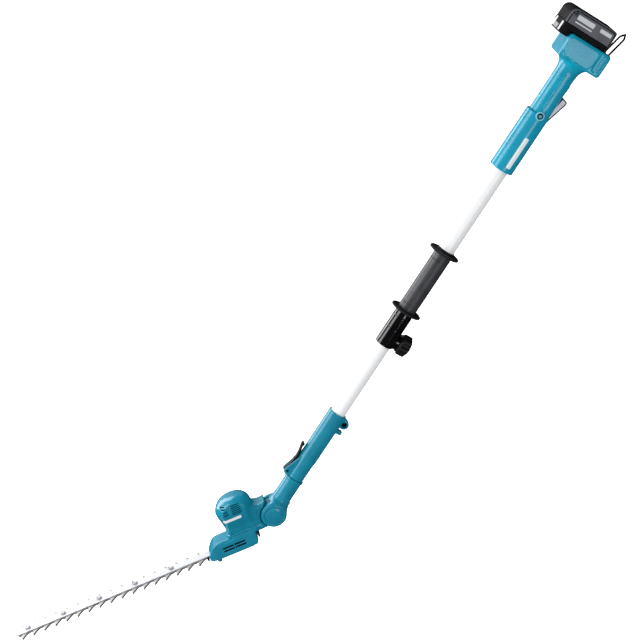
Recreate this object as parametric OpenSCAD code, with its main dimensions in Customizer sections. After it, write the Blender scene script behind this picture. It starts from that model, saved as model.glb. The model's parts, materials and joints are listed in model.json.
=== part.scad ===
// Cordless pole hedge trimmer with a telescopic pole and a tilting cutter head.
// Lengths in millimetres. Origin: centre of the front grip, on the pole axis.
// The blade lies along -X, its cutting plane is XY, and the pole rises towards +X.

/* [Pole] */
// angle between the pole and the blade, seen from the side
bend = 36; // [30:1:42]
// distance from the tilt pivot to the centre of the front grip
grip_at = 630; // [600:5:660]
// outer radius of the outer pipe
pipe_r = 18.7; // [17:0.1:20]
// outer radius of the sliding inner pipe
inner_r = 17.3; // [16:0.1:18]
// radius of the lower casing and neck
casing_r = 21.2; // [20:0.1:22]
// radius of the grip flanges
flange_r = 36; // [30:1:40]

/* [Handle] */
// radius of the front barrel of the handle
barrel_r = 27.2; // [24:0.2:28]
// radius of the rear grip
rear_r = 23.8; // [21:0.2:25]
// thickness of the housing walls
wall = 2.8; // [2:0.2:3.4]
// half width of the battery holder
hold_w = 39.5; // [36:0.5:42]
// length of the battery pack
pack_l = 113; // [110:1:116]

/* [Head] */
// half width of the gear case
case_w = 27; // [25:0.5:30]
// half length of the motor housing
motor_r = 43; // [40:0.5:44]
// throw of the two eccentrics
throw = 6.75; // [5:0.25:7]

/* [Blade] */
// distance between teeth
pitch = 27; // [27:1:27]
// number of teeth on each side
teeth = 17; // [10:1:17]
// half width of the blade over the tooth tips
tip_w = 30; // [26:1:30]
// half width of the guide bar
bar_w = 12; // [10:0.5:13]

/* [Hidden] */
$fn = 48;
teal = [0.0, 0.42, 0.52];
black = [0.06, 0.06, 0.065];
dark = [0.16, 0.16, 0.17];
grey = [0.35, 0.35, 0.37];
steel = [0.72, 0.73, 0.75];
alu = [0.8, 0.81, 0.82];
crank_x = -102;
motor_x = -74;
dome_x = -77.5;
first_tooth = 199.5;
bolt_x = [-266, -354, -442, -530, -617];
screw_at = [[1044, 12], [1044, -12], [1137, -1], [1174, -2], [1219, -46], [1219, 34]];
head_screw_at = [[-105.3, 50.6], [-37.4, -15.3], [-105.6, 5.7]];

// ---- frames: pole() puts x along the pole from the tilt pivot, head() has x along the blade
module pole() {
  rotate([0, -bend, 0])
    translate([-grip_at, 0, 0])
      children();
}

module head() {
  translate([-grip_at * cos(bend), 0, -grip_at * sin(bend)])
    children();
}

// ---- helpers: cylinders along x, y and z, a revolved profile about x, rounded plates
module xcyl(x0, x1, r) {
  translate([x0, 0, 0])
    rotate([0, 90, 0])
      cylinder(h = x1 - x0, r = r);
}

module ycyl(x, z, y0, y1, r) {
  translate([x, y0, z])
    rotate([-90, 0, 0])
      cylinder(h = y1 - y0, r = r);
}

module zcyl(x, y, z0, z1, r) {
  translate([x, y, z0])
    cylinder(h = z1 - z0, r = r);
}

// pts are [radius, x]
module xrev(pts) {
  rotate([0, 90, 0])
    rotate_extrude($fn = 64)
      polygon(pts);
}

// profile in x and z, extruded along y
module xz(y0, y1) {
  translate([0, y1, 0])
    rotate([90, 0, 0])
      linear_extrude(y1 - y0)
        children();
}

// profile in x and y, extruded along z
module xy(z0, z1) {
  translate([0, 0, z0])
    linear_extrude(z1 - z0)
      children();
}

// profile in y and z, extruded along x
module yz(x0, x1) {
  translate([x0, 0, 0])
    rotate([90, 0, 90])
      linear_extrude(x1 - x0)
        children();
}

module box(x0, x1, y0, y1, z0, z1) {
  translate([x0, y0, z0])
    cube([x1 - x0, y1 - y0, z1 - z0]);
}

module rrect(x0, x1, y0, y1, r) {
  translate([x0 + r, y0])
    square([x1 - x0 - 2 * r, y1 - y0]);
  translate([x0, y0 + r])
    square([x1 - x0, y1 - y0 - 2 * r]);
  for (x = [x0 + r, x1 - r])
    for (y = [y0 + r, y1 - r])
      translate([x, y])
        circle(r = r);
}

// involute spur gear outline, m teeth module, z teeth, b backlash in mm
function inv(r, rb) = r <= rb ? 0 : sqrt(pow(r / rb, 2) - 1) * 180 / PI - acos(rb / r);
function half_tooth(r, m, z, b) = 90 / z - b / (m * z) * 180 / PI
  + inv(m * z / 2, m * z / 2 * cos(20)) - inv(r, m * z / 2 * cos(20));
function gear_pts(m, z, b) = [for (i = [0:z - 1]) for (j = [0:7])
  let (ro = m * z / 2 + 0.95 * m, ri = m * z / 2 - 1.25 * m, s = j < 4 ? -1 : 1,
    k = j < 4 ? j : 7 - j, r = ri + (ro - ri) * k / 3,
    a = i * 360 / z + s * half_tooth(r, m, z, b))
  [r * cos(a), r * sin(a)]];

// ================= pole and handle =================
module outer_pipe() {
  color(alu) pole() difference() {
    xcyl(494, 1030, pipe_r);
    xcyl(493, 1031, pipe_r - 1.1);
  }
}

module clamp_collar() {
  color(black) pole() difference() {
    union() {
      xrev([[17.7, 462], [20, 462], [21.2, 464], [21.2, 541], [20.4, 545], [20.4, 550],
        [17.7, 550]]);
      translate([481, 0, -28.7])
        cylinder(h = 13.5, r = 11.5);
      translate([481, 0, 0])
        box(-19, 19, -3.5, 3.5, -28, -18);
    }
    xcyl(461, 494, 17.7);
    xcyl(463, 471, 19.4);
    xcyl(494, 551, pipe_r);
    zcyl(481, 0, -34, -16, 4.06);
  }
}

module pipe_bush() {
  color(dark) pole() difference() {
    xcyl(463, 471, 19.4);
    xcyl(462, 472, inner_r + 0.08);
  }
}

module clamp_knob() {
  color(black) pole() translate([481, 0, 0]) difference() {
    union() {
      translate([0, 0, -52.5])
        rotate_extrude()
          polygon([[0, 2.5], [11, 2.5], [13, 0], [16, 0], [20.6, 3], [20.6, 19.5],
            [16, 23.3], [0, 23.3]]);
      for (i = [0:6])
        rotate([0, 0, i * 360 / 7])
          translate([18.8, 0, -49.9])
            cylinder(h = 17.6, r = 6, $fn = 32);
    }
    zcyl(0, 0, -43.5, -28.5, 4);
  }
}

module clamp_screw() {
  color(steel) pole()
    zcyl(481, 0, -43.5, -19, 4);
}

module front_grip() {
  color(dark) pole() difference() {
    xrev([[pipe_r, 556.2], [21.4, 556.2], [21.2, 562], [21.2, 697], [21.4, 703],
      [pipe_r, 703]]);
    for (x = [572, 687])
      difference() {
        xcyl(x - 0.8, x + 0.8, 22);
        xcyl(x - 1, x + 1, 20.6);
      }
  }
}

module flange(x, s) {
  translate([x, 0, 0])
    xrev([[pipe_r, -3], [flange_r - 3, -3], [flange_r - 0.9, -2.1], [flange_r, 0],
      [flange_r - 0.9, 2.1], [flange_r - 3, 3], [pipe_r, 3]]);
}

module grip_flange_front() {
  color(dark) pole() flange(553.2, -1);
}

module grip_flange_rear() {
  color(dark) pole() {
    flange(706, 1);
    xrev([[pipe_r, 709], [20.8, 709], [20.8, 714], [pipe_r, 714.5]]);
  }
}

// outside of the handle, g is the wall offset inwards
module handle_form(g) {
  translate([0, 0, -0.75])
    xrev([[0, 925 + g], [22.5 - g, 925 + g], [25.8 - g, 926.5 + g], [barrel_r - g, 930 + g],
      [barrel_r - g, 1068 - g], [24.6 - g, 1072 - g], [0, 1072 - g]]);
  translate([0, 0, -2.6])
    xrev([[0, 1060 - g], [rear_r - g, 1060 - g], [rear_r - g, 1168], [24.8 - g, 1177],
      [27 - g, 1185], [30.6 - g, 1192], [35.4 - g, 1197], [35.4 - g, 1206 + g], [0, 1206 + g]]);
  intersection() {
    xz(-50, 50)
      rrect(1196 + g, 1268, -58 + g, 47 - g, 9 - g);
    yz(1190, 1250)
      rrect(-hold_w + g, hold_w - g, -58 + g, 47 - g, 9 - g);
  }
}

module handle_cavity() {
  intersection() {
    handle_form(wall);
    box(900, 1240, -60, 60, -80, 80);
  }
}

module handle_shell() {
  difference() {
    union() {
      difference() {
        handle_form(0);
        handle_cavity();
      }
      for (x = [928, 976, 1024])
        difference() {
          xcyl(x, x + 4, barrel_r - 1);
          xcyl(x - 1, x + 5, pipe_r);
        }
      for (p = screw_at)
        intersection() {
          ycyl(p[0], p[1], -39, 39, 4.6);
          handle_form(0.5);
        }
      intersection() {
        difference() {
          box(1083, 1087, -25, 25, -12, 8);
          box(1082, 1088, -9.1, 9.1, -14, 10);
        }
        handle_form(0.5);
      }
      intersection() {
        ycyl(1056, -16, -22, 22, 4.5);
        handle_form(0.5);
      }
      ycyl(1067, 0, -27, -18, 8.4);
      ycyl(1067, 0, 18, 27, 8.4);
      for (z = [-44, -36, -28])
        box(1206, 1236, -hold_w - 0.6, -hold_w + 1, z - 62 + 50, z - 62 + 53);
      xz(-24.3, -22)
        polygon([[940, 2], [1040, -3], [1055, -6], [1055, -12], [940, -9]]);
    }
    xcyl(920, 990, pipe_r);
    ycyl(1067, 0, -40, 40, 5.7);
    box(1045, 1126.5, -8.5, 8.5, -45, -12);
    box(1050, 1062, -8.5, 8.5, -24, -9.5);
    ycyl(1056, -16, -13.2, 13.2, 2);
    for (p = screw_at) {
      ycyl(p[0], p[1], -16, 50, 1.8);
      ycyl(p[0], p[1], 12, 50, 3.3);
    }
    // slide channel for the pack
    box(1247.3, 1252, -18.5, 18.5, -37.5, 60);
    box(1243.1, 1247.4, -22.5, 22.5, -37.5, 60);
    box(1236, 1243.2, -15.8, 15.8, -33.8, -10.2);
    // rear shelf under the hook bracket
    box(1238.4, 1260, -24, 24, -60, -43.6);
  }
}

module handle_shell_left() {
  color(teal) pole() intersection() {
    handle_shell();
    box(900, 1300, -60, 0, -90, 90);
  }
}

module handle_shell_right() {
  color(teal) pole() intersection() {
    handle_shell();
    box(900, 1300, 0, 60, -90, 90);
  }
}

module handle_screws() {
  color(steel) pole() for (p = screw_at) {
    ycyl(p[0], p[1], -15.8, 12.1, 1.8);
    ycyl(p[0], p[1], 12, 15, 3.3);
  }
}

module trigger_pin() {
  color(steel) pole()
    ycyl(1056, -16, -13, 13, 2);
}

module trigger() {
  color(black) pole() difference() {
    union() {
      xz(-8, 8)
        polygon([[1050.5, -23], [1056, -26], [1066, -29], [1078, -32], [1090, -35.5],
          [1104, -39.7], [1113, -41.9], [1117.4, -41.6], [1119.4, -39.5], [1123, -29.5],
          [1121.5, -25.8], [1070, -17.1],
          [1061, -14], [1056, -11.2]]);
      ycyl(1056, -16, -8, 8, 5.2);
    }
    ycyl(1056, -16, -9, 9, 2.05);
  }
}

module switch_body() {
  color(dark) pole() difference() {
    box(1078, 1114, -9, 9, -13, 9);
    zcyl(1098, 0, -14, 3, 2.6);
  }
}

module switch_plunger() {
  color(grey) pole()
    zcyl(1098, 0, -21.2, -5, 2.5);
}

module lock_off_button() {
  color(black) pole() {
    ycyl(1067, 0, -28.6, -19, 5.6);
    ycyl(1067, 0, -19, 14, 4.5);
    ycyl(1067, 0, 14, 23, 5.6);
  }
}

module control_board() {
  color([0.05, 0.25, 0.12]) pole() {
    box(1212, 1213.6, -29, 29, -37, 25);
    box(1213.6, 1219, -24, -12, 0, 20);
    zcyl(1218, 10, 4, 20, 4.4);
  }
}

module terminal_block() {
  color(dark) pole() {
    box(1236, 1243, -15.8, 15.8, -33.8, -10.2);
    box(1213.6, 1236, -14, 14, -32, -12);
  }
}

module terminal_contacts() {
  color([0.8, 0.6, 0.25]) pole()
    for (y = [-11, 0, 11])
      box(1243, 1250, y - 0.5, y + 0.5, -30, -16);
}

module hook_bracket() {
  color(black) pole() difference() {
    union() {
      box(1238.4, 1249.5, -22, 22, -57.5, -44);
      ycyl(1244.5, -54, -22, 22, 5.4);
    }
    ycyl(1244.5, -54, -23, 23, 2.58);
    box(1237, 1251, -10.5, 10.5, -62, -47);
    for (s = [0, 1])
      mirror([0, s, 0])
        box(1240.2, 1252, 12.8, 18.2, -62, -51.2);
  }
}

// open wire bail: two legs and a bent end
module hanging_hook() {
  color(black) pole() {
    for (y = [-15.5, 15.5]) {
      translate([1244.5, y, -54])
        rotate([0, 90 + 12, 0])
          cylinder(h = 50, r = 2);
    }
    for (s = [-1, 1])
      ycyl(1244.5, -54, s < 0 ? -21.8 : 12, s < 0 ? -12 : 21.8, 2.5);
    for (s = [-1, 1])
      translate([1293.4, s * 15.5, -64.4])
        rotate([0, 102, 0])
          rotate([s * 58, 0, 0])
            cylinder(h = 18.3, r = 2);
    for (s = [-1, 1])
      translate([1293.4, s * 15.5, -64.4])
        sphere(r = 2.2, $fn = 32);
    translate([1302.9, 0, -66.42])
      sphere(r = 2.4, $fn = 32);
  }
}

module battery_case() {
  color(dark) pole() difference() {
    intersection() {
      xz(-37.5, 37.5)
        difference() {
          rrect(1240, 1299, -39.3, pack_l - 39.3, 8);
          translate([1283, pack_l - 55.3])
            difference() {
              square([20, 20]);
              circle(r = 16);
            }
        }
      yz(1263.5, 1302)
        rrect(-37.5, 37.5, -39.3, pack_l - 39.3, 7);
    }
    xz(-34.8, 34.8)
      polygon([[1262, -36.6], [1296.4, -36.6], [1296.4, pack_l - 50], [1289, pack_l - 42],
        [1262, pack_l - 42]]);
  }
}

module battery_base() {
  color(grey) pole() difference() {
    union() {
      intersection() {
        xz(-37.5, 37.5)
          rrect(1253, 1290, -39.3, pack_l - 39.3, 3);
        yz(1253, 1263.5)
          rrect(-37.5, 37.5, -39.3, pack_l - 39.3, 7);
      }
      intersection() {
        xz(-33, 33)
          rrect(1236.5, 1262, 49, pack_l - 39.3, 3);
        yz(1236.5, 1254)
          rrect(-33, 33, 49, pack_l - 39.3, 3);
      }
    }
    box(1255.6, 1264, -34.8, 34.8, -36.6, pack_l - 42);
    box(1239.6, 1251.4, -12.4, 12.4, 64, 90);
  }
}

module battery_rails() {
  color(dark) pole() difference() {
    union() {
      box(1247, 1253, -18, 18, -36.5, 49);
      box(1243.6, 1247, -22, 22, -36.5, 49);
    }
    for (y = [-11, 0, 11])
      box(1243, 1251, y - 1.1, y + 1.1, -37, -13);
  }
}

module battery_cells() {
  color([0.1, 0.35, 0.3]) pole()
    for (i = [0:4])
      for (x = [1266.6, 1286.4])
        ycyl(x, -24.6 + i * 20.7, -33, 33, 9.1);
}

module battery_button() {
  color(black) pole()
    intersection() {
      box(1239.9, 1251.1, -12, 12, 68.6, 77);
      xz(-12, 12)
        rrect(1239.9, 1251.1, 60, 76.6, 2.5);
    }
}

// ================= inner pipe, casing and neck =================
module inner_pipe() {
  color(alu) pole() difference() {
    xcyl(215, 1022, inner_r);
    xcyl(214, 1023, inner_r - 1.3);
  }
}

module pipe_socket() {
  color(teal) pole() difference() {
    union() {
      xrev([[0, 93.4], [19.8, 93.4], [19.8, 138], [casing_r, 145], [casing_r, 272],
        [casing_r - 1, 275.5], [0, 275.5]]);
      // clamp lug with its bolt, and the small stop lug beside it
      xz(-9, 9)
        union() {
          translate([257.5, -26])
            circle(r = 11);
          polygon([[246.6, -26], [247, -14], [272, -12], [272, -20], [267.5, -29]]);
        }
      xz(-7, 7)
        rrect(230.5, 240.5, -33.5, -15, 2.5);
      for (s = [-1, 1])
        translate([0, s < 0 ? -12 : 7.4, 0])
          xz(0, 4.6)
            polygon([[93.8, 14.5], [94.4, 29], [97.2, 33], [102, 34.6], [107.6, 33.2],
              [150, 18.6], [150, 14.5]]);
    }
    xcyl(215, 276, inner_r);
    xcyl(92, 216, 15.5);
    box(220, 280, -0.9, 0.9, -40, -10);
    ycyl(257.5, -26, -10, 10, 3);
    ycyl(257.5, -26, -10, -5, 6.2);
    ycyl(257.5, -26, 5.4, 10, 5.7);
    ycyl(103, 27, -15, 15, 2.5);
    box(95, 113, -7.4, 7.4, 4, 40);
  }
}

module socket_bolt() {
  color(black) pole() difference() {
    union() {
      ycyl(257.5, -26, -8.4, -5, 5.4);
      ycyl(257.5, -26, -5.1, 8.4, 2.98);
    }
    translate([257.5, -6.4, -26])
      rotate([90, 0, 0])
        cylinder(h = 3, r = 2.6, $fn = 6);
  }
}

module socket_nut() {
  color(steel) pole() difference() {
    translate([257.5, 5.4, -26])
      rotate([-90, 0, 0])
        cylinder(h = 3.4, r = 5.6, $fn = 6);
    ycyl(257.5, -26, 5, 9, 3);
  }
}

module neck_form() {
  intersection() {
    xz(-40, 40)
      union() {
        circle(r = 29.5);
        polygon([[-2, 29], [8, 27], [26, 22.4], [46, 20.8], [46, -20.6], [30, -21.8],
          [12, -26], [-2, -29]]);
      }
    xy(-40, 40)
      polygon([[-32, -28], [20, -28], [30, -26.4], [40, -23], [50, -20.6], [50, 20.6],
        [40, 23], [30, 26.4], [20, 28], [-32, 28]]);
  }
  xcyl(44, 93.1, 20.8);
  xcyl(87, 93.1, 22.4);
  xcyl(93, 112, 15.45);
}

module neck_fork() {
  color(teal) pole() difference() {
    neck_form();
    ycyl(0, 0, -16, 16, 31.8);
    ycyl(0, 0, -40, 40, 6);
    ycyl(0, 0, -40, -24.8, 13.2);
    ycyl(0, 0, 24.8, 40, 13.2);
    xcyl(20, 113, 6.1);
    box(95, 113, -7.4, 7.4, 4, 20);
  }
}

module pivot_bolt() {
  color(steel) pole() {
    ycyl(0, 0, -24.8, 27, 5.96);
    ycyl(0, 0, 24.8, 27.2, 12);
    ycyl(0, 0, -27.2, -24.8, 10);
  }
}

module cap_disc(r) {
  rotate([-90, 0, 0])
    rotate_extrude($fn = 64)
      polygon([[0, 0], [r, 0], [r - 0.6, 1.4], [r - 4, 2.6], [0, 3.6]]);
}

module pivot_cap_left() {
  color(teal) pole()
    translate([0, -28, 0])
      mirror([0, 1, 0])
        cap_disc(27.3);
}

module pivot_cap_right() {
  color(teal) pole()
    translate([0, 28, 0])
      cap_disc(27.3);
}

module lever_pin() {
  color(steel) pole()
    ycyl(103, 27, -12.6, 12.6, 2.5);
}

module angle_lever() {
  color(black) pole() difference() {
    union() {
      ycyl(103, 27, -7, 7, 5.2);
      xz(-6, 6)
        polygon([[103, 32.2], [118, 30.6], [134, 28.4], [148, 28], [160, 29.8], [172, 31],
          [172, 26.4], [160, 24.4], [148, 22.4], [134, 22.4], [118, 23], [106, 22.6],
          [106, 4.6], [100, 4.6], [100, 23]]);
      ycyl(174, 28.6, -6, 6, 3.6);
    }
    ycyl(103, 27, -8, 8, 2.56);
    ycyl(174, 28.6, -8, 8, 1.6);
  }
}

module lock_plunger() {
  color(steel) pole() difference() {
    union() {
      xcyl(29.4, 37, 6);
      xcyl(36, 97, 2.8);
      xcyl(96, 110, 6);
      xz(-3, 3)
        polygon([[27.6, -3], [27.6, 3], [31, 5], [31, -5]]);
    }
    box(98, 108, -7, 7, 3, 8);
  }
}

// ================= cutter head =================
module tilt_knuckle() {
  color(grey) head() difference() {
    union() {
      ycyl(0, 0, -15.6, 15.6, 27);
      box(-50, -18, -11.9, 11.9, -8, 30);
    }
    ycyl(0, 0, -17, 17, 6.01);
    // notches the plunger drops into
    for (a = [-72:12:48])
      ycyl(27.4 * cos(a), 27.4 * sin(a), -17, 17, 2.1);
  }
}

module head_form(g) {
  intersection() {
    translate([dome_x, 0, 0])
      rotate_extrude($fn = 72)
        polygon([[0, -11.9], [34.5 - g, -11.9], [35 - g, 6], [38.5 - g, 25],
          [motor_r - 1 - g, 40], [motor_r - g, 50], [42 - g, 58], [38 - g, 66 - 0.5 * g],
          [30 - g, 73 - 0.8 * g], [20 - g, 77 - g], [0, 79 - g]]);
    yz(-130, -20)
      polygon([[-21 + g, -11.9], [-23 + g, 6], [-30 + g, 24], [-36 + g, 38], [-38 + g, 48],
        [-38 + g, 57], [-33 + g, 67 - g], [-22 + g, 74 - g], [-6, 79 - g], [6, 79 - g],
        [22 - g, 74 - g], [33 - g, 67 - g], [38 - g, 57], [38 - g, 48], [36 - g, 38],
        [30 - g, 24], [23 - g, 6], [21 - g, -11.9]]);
  }
}

module arm_form(g) {
  difference() {
    intersection() {
      xz(-40, 40)
        polygon([[-58, 46 - g], [-40, 42 - g], [-31, 38.4 - g], [-22, 36.8 - g],
          [-14, 37.4 - g], [-10, 38.4 - g], [-6 - g, 36.6 - g], [-6 - g, 30], [-12, -10],
          [-20, -24 + g], [-51.7 + g, -24 + g], [-51.7 + g, -11.8 + g], [-62, -11.8 + g], [-62, 46 - g]]);
      xy(-40, 60)
        polygon([[-64, -24 + g], [-30, -23 + g], [-14, -21 + g], [2, -19 + g], [2, 21 - g],
          [-14, 23 - g], [-30, 24 - g], [-64, 24 - g]]);
    }
    ycyl(0, 0, -50, 50, 31.6 + g);
  }
}

module head_shell() {
  difference() {
    union() {
      difference() {
        union() {
          head_form(0);
          arm_form(0);
        }
        head_form(2.6);
        arm_form(2.6);
        zcyl(motor_x, 0, -13, -5, 18);
      }
      intersection() {
        difference() {
          union() {
            zcyl(motor_x, 0, 16, 19, 39);
            zcyl(motor_x, 0, 44, 47, 39);
          }
          zcyl(motor_x, 0, 15, 48, 22);
        }
        head_form(1);
      }
      intersection() {
        union() {
          for (p = head_screw_at)
            ycyl(p[0], p[1], -30, 30, 4.4);
          box(-49, -22, -14, 14, -11, 33);
        }
        union() {
          head_form(0.6);
          arm_form(0.6);
        }
      }
    }
    zcyl(motor_x, 0, 3, 57.2, 22);
    box(-50, -10, -11.9, 11.9, -8, 30);
    // cooling slots on both sides
    for (s = [0, 1])
      mirror([0, s, 0]) {
        for (i = [0:5])
          box(-79, -62, 20, 45, 42 + i * 4.4, 43.8 + i * 4.4);
        for (i = [0:1])
          box(-102, -95, 14, 45, 64 + i * 4.2, 65.6 + i * 4.2);
        for (i = [0:2])
          box(-100.4, -91, 18, 45, 47 + i * 4, 48.6 + i * 4);
      }
  }
}

module head_shell_left() {
  color(teal) head() difference() {
    intersection() {
      head_shell();
      box(-140, 30, -60, 0, -40, 100);
    }
    for (p = head_screw_at)
      ycyl(p[0], p[1], -9, 1, 1.8);
  }
}

module head_shell_right() {
  color(teal) head() difference() {
    intersection() {
      head_shell();
      box(-140, 30, 0, 60, -40, 100);
    }
    for (p = head_screw_at) {
      ycyl(p[0], p[1], -1, 11.5, 1.8);
      ycyl(p[0], p[1], 11, 50, 3.3);
    }
  }
}

module head_screws() {
  color(steel) head() for (p = head_screw_at) {
    ycyl(p[0], p[1], -8.9, 11.1, 1.75);
    ycyl(p[0], p[1], 11, 14, 3.25);
  }
}

module case_form(g) {
  intersection() {
    xz(-40, 40)
      polygon([[-52 - g, -46.5 + g], [-52 - g, -20], [-54 - g, -15 - g], [-58 - g, -12 - g],
        [-140 + g, -12 - g], [-150 + g, -15.5 - g], [-161 + g, -25], [-170 + g, -36],
        [-175 + g, -44], [-175 + g, -60], [-52 - g, -60]]);
    xy(-60, 0)
      polygon([[-52 - g, -24 + g], [-55 - g, -case_w + g], [-146, -case_w + g],
        [-161, -25 + g], [-171, -20.5 + g], [-175 + g, -16 + g], [-175 + g, 16 - g],
        [-171, 20.5 - g], [-161, 25 - g], [-146, case_w - g], [-55 - g, case_w - g],
        [-52 - g, 24 - g]]);
    yz(-180, -40)
      polygon([[-case_w + g, -60], [-case_w + g, -19 - 0.5 * g], [-case_w + 5 + g, -12 - g],
        [case_w - 5 - g, -12 - g], [case_w - g, -19 - 0.5 * g], [case_w - g, -60]]);
  }
}

module gear_case() {
  color(teal) head() difference() {
    union() {
      difference() {
        case_form(0);
        case_form(3);
        box(-180, -40, -40, 40, -70, -46.5);
      }
      zcyl(crank_x, 0, -19.6, -14, 12.6);
      intersection() {
        union() {
          for (y = [-18, 18]) {
            zcyl(-153, y, -46.5, -14, 5);
            zcyl(-60, y, -37.5, -14, 5);
          }
          zcyl(-142, 0, -37.5, -14, 7);
        }
        case_form(0.5);
      }
    }
    zcyl(crank_x, 0, -20, -15.6, 9.5);
    zcyl(motor_x, 0, -16, -10, 7);
    box(-180, -160, -14.5, 14.5, -46.6, -37.4);
    for (y = [-18, 18]) {
      zcyl(-153, y, -48, -24, 2);
      zcyl(-60, y, -48, -24, 2);
    }
    zcyl(-142, 0, -48, -22, 4);
    for (s = [-1, 1])
      for (z = [-29.5, -37])
        translate([0, s < 0 ? -30 : case_w - 1.4, 0])
          xz(0, 3 + 1.4)
            rrect(-136, -82, z - 2.2, z + 2.2, 2.1);
  }
}

module case_cover() {
  color(teal) head() difference() {
    union() {
      intersection() {
        xz(-40, 40)
          polygon([[-52, -46.5], [-53, -48], [-58, -50.2], [-66.5, -50.2], [-67, -51.5],
            [-145.5, -51.5], [-146, -50.2], [-169, -50.2], [-174, -48.6], [-175, -46.5]]);
        case_form(0);
      }
      for (y = [-18, 18])
        zcyl(-60, y, -47, -40.5, 5);
    }
    zcyl(crank_x, 0, -50, -46, 8);
    for (y = [-18, 18]) {
      zcyl(-153, y, -55, -40, 2);
      zcyl(-60, y, -55, -40, 2);
    }
  }
}

module cover_bolts() {
  color(teal) head()
    for (x = [-153, -60])
      for (y = [-18, 18]) {
        zcyl(x, y, -51, -24.2, 2);
        translate([x, y, x < -100 ? -58.5 : -53])
          rotate_extrude($fn = 32)
            polygon([[0, 0], [3.8, 0], [5.4, 1.4], [5.4, x < -100 ? 8.3 : 2.8],
              [0, x < -100 ? 8.3 : 2.8]]);
      }
}

module nose_seal() {
  color(black) head() difference() {
    intersection() {
      box(-180, -175, -16, 16, -49.5, -34.5);
      xy(-60, 0)
        polygon([[-173, -17], [-177, -17], [-180, -14], [-180, 14], [-177, 17], [-173, 17]]);
    }
    box(-183, -173, -14.5, 14.5, -46.3, -37.4);
  }
}

module rear_buffer() {
  color(dark) head()
    intersection() {
      box(-52, -47.5, -20, 20, -40, -25.5);
      xz(-20, 20)
        rrect(-56, -47.5, -40, -25.5, 3);
    }
}

module motor_can() {
  color(grey) head() difference() {
    zcyl(motor_x, 0, 3, 57, 21.95);
    zcyl(motor_x, 0, 5.5, 54.5, 18.6);
    zcyl(motor_x, 0, 2, 58, 2.55);
  }
}

module motor_rotor() {
  color([0.6, 0.35, 0.15]) head() {
    zcyl(motor_x, 0, -19.4, 66, 2.5);
    zcyl(motor_x, 0, 12, 48, 17.6);
  }
}

module motor_pinion() {
  color(steel) head() translate([motor_x, 0, -31]) difference() {
    linear_extrude(11.5)
      polygon(gear_pts(1, 11, 0.06));
    zcyl(0, 0, 11.4, 12, 2.5);
  }
}

module motor_fan() {
  color(dark) head() translate([motor_x, 0, 59]) difference() {
    union() {
      cylinder(h = 7, r = 5);
      cylinder(h = 1.2, r = 26);
      for (i = [0:8])
        rotate([0, 0, i * 40])
          box(4, 25.5, -0.6, 0.6, 1, 6);
    }
    translate([0, 0, -1])
      cylinder(h = 9, r = 2.5);
  }
}

module upper_bearing() {
  color(steel) head() difference() {
    zcyl(crank_x, 0, -19.6, -15.6, 9.5);
    zcyl(crank_x, 0, -20, -15, 4.04);
  }
}

module lower_bearing() {
  color(steel) head() difference() {
    zcyl(crank_x, 0, -50, -46.5, 8);
    zcyl(crank_x, 0, -51, -46, 4.04);
  }
}

module crank_shaft() {
  color(steel) head() {
    zcyl(crank_x, 0, -20, -15.8, 4);
    zcyl(crank_x, 0, -40.7, -20, 8);
    zcyl(crank_x, throw, -43.3, -40.7, 11);
    zcyl(crank_x, -throw, -46.1, -43.3, 11);
    zcyl(crank_x, 0, -49.8, -46, 4);
  }
}

module crank_gear() {
  color(steel) head() translate([crank_x, 0, -29.5]) difference() {
    linear_extrude(9)
      polygon(gear_pts(1, 45, 0.06));
    zcyl(0, 0, -1, 10, 8);
  }
}

module bar_outline() {
  polygon([[-651.5, -6], [-651.5, 6], [-649, 9.5], [-644, bar_w], [-130, bar_w], [-126, 20],
    [-77, 20], [-72, 22], [-57, 22], [-57, 13], [-72, 13], [-72, -13], [-57, -13],
    [-57, -22], [-72, -22], [-77, -20], [-126, -20], [-130, -bar_w], [-644, -bar_w],
    [-649, -9.5]]);
}

module guide_bar() {
  color(steel) head() difference() {
    xy(-40.5, -37.5)
      bar_outline();
    zcyl(crank_x, 0, -41, -37, 8.5);
    for (y = [-18, 18])
      zcyl(-60, y, -41, -37, 2);
    zcyl(-142, 0, -41, -37, 4);
    for (x = bolt_x)
      zcyl(x, 0, -41, -37, 4);
  }
}

module bar_bolts() {
  color(steel) head() {
    for (x = bolt_x) {
      zcyl(x, 0, -46.3, -34, 4);
      zcyl(x, 0, -48.4, -46.2, 9);
    }
    zcyl(-142, 0, -46.4, -24, 4);
  }
}

module bar_nuts() {
  color(steel) head()
    for (x = bolt_x)
      difference() {
        union() {
          zcyl(x, 0, -37.5, -36.4, 8.5);
          translate([x, 0, -36.5])
            rotate([0, 0, 12])
              cylinder(h = 4, r = 6.8, $fn = 6);
        }
        zcyl(x, 0, -38, -32, 4);
      }
}

// outline points of one side's teeth, from the head to the tip; each tooth's leading edge
// is square to the bar and s picks the side
function tooth_pts(s) = [for (i = [0:teeth - 1]) for (p = [[14.3, 10.6], [13.6, 12.6],
    [8.6, 18], [2.2, tip_w - 1], [0.2, tip_w], [-1.8, tip_w - 1.6], [-1.25, 10.6]])
  [p[0] - first_tooth - i * pitch, s * p[1]]];
function reversed(a) = [for (i = [len(a) - 1:-1:0]) a[i]];

module blade_outline() {
  difference() {
    union() {
      polygon(concat([[crank_x - 15, 10.6]], tooth_pts(1), [[-640, 10.6], [-643, 7],
        [-643, -7], [-640, -10.6]], reversed(tooth_pts(-1)), [[crank_x - 15, -10.6]]));
      translate([crank_x, 0])
        rrect(-17.4, 17.4, -22.3, 22.3, 4);
    }
    translate([crank_x, 0])
      rrect(-12.8, 12.8, -18.3, 18.3, 3);
    for (x = concat(bolt_x, [-142]))
      translate([x, 0])
        rrect(-11.4, 11.4, -4.35, 4.35, 4.3);
  }
}

module upper_blade() {
  color(steel) head()
    xy(-43.2, -40.8)
      blade_outline();
}

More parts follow.
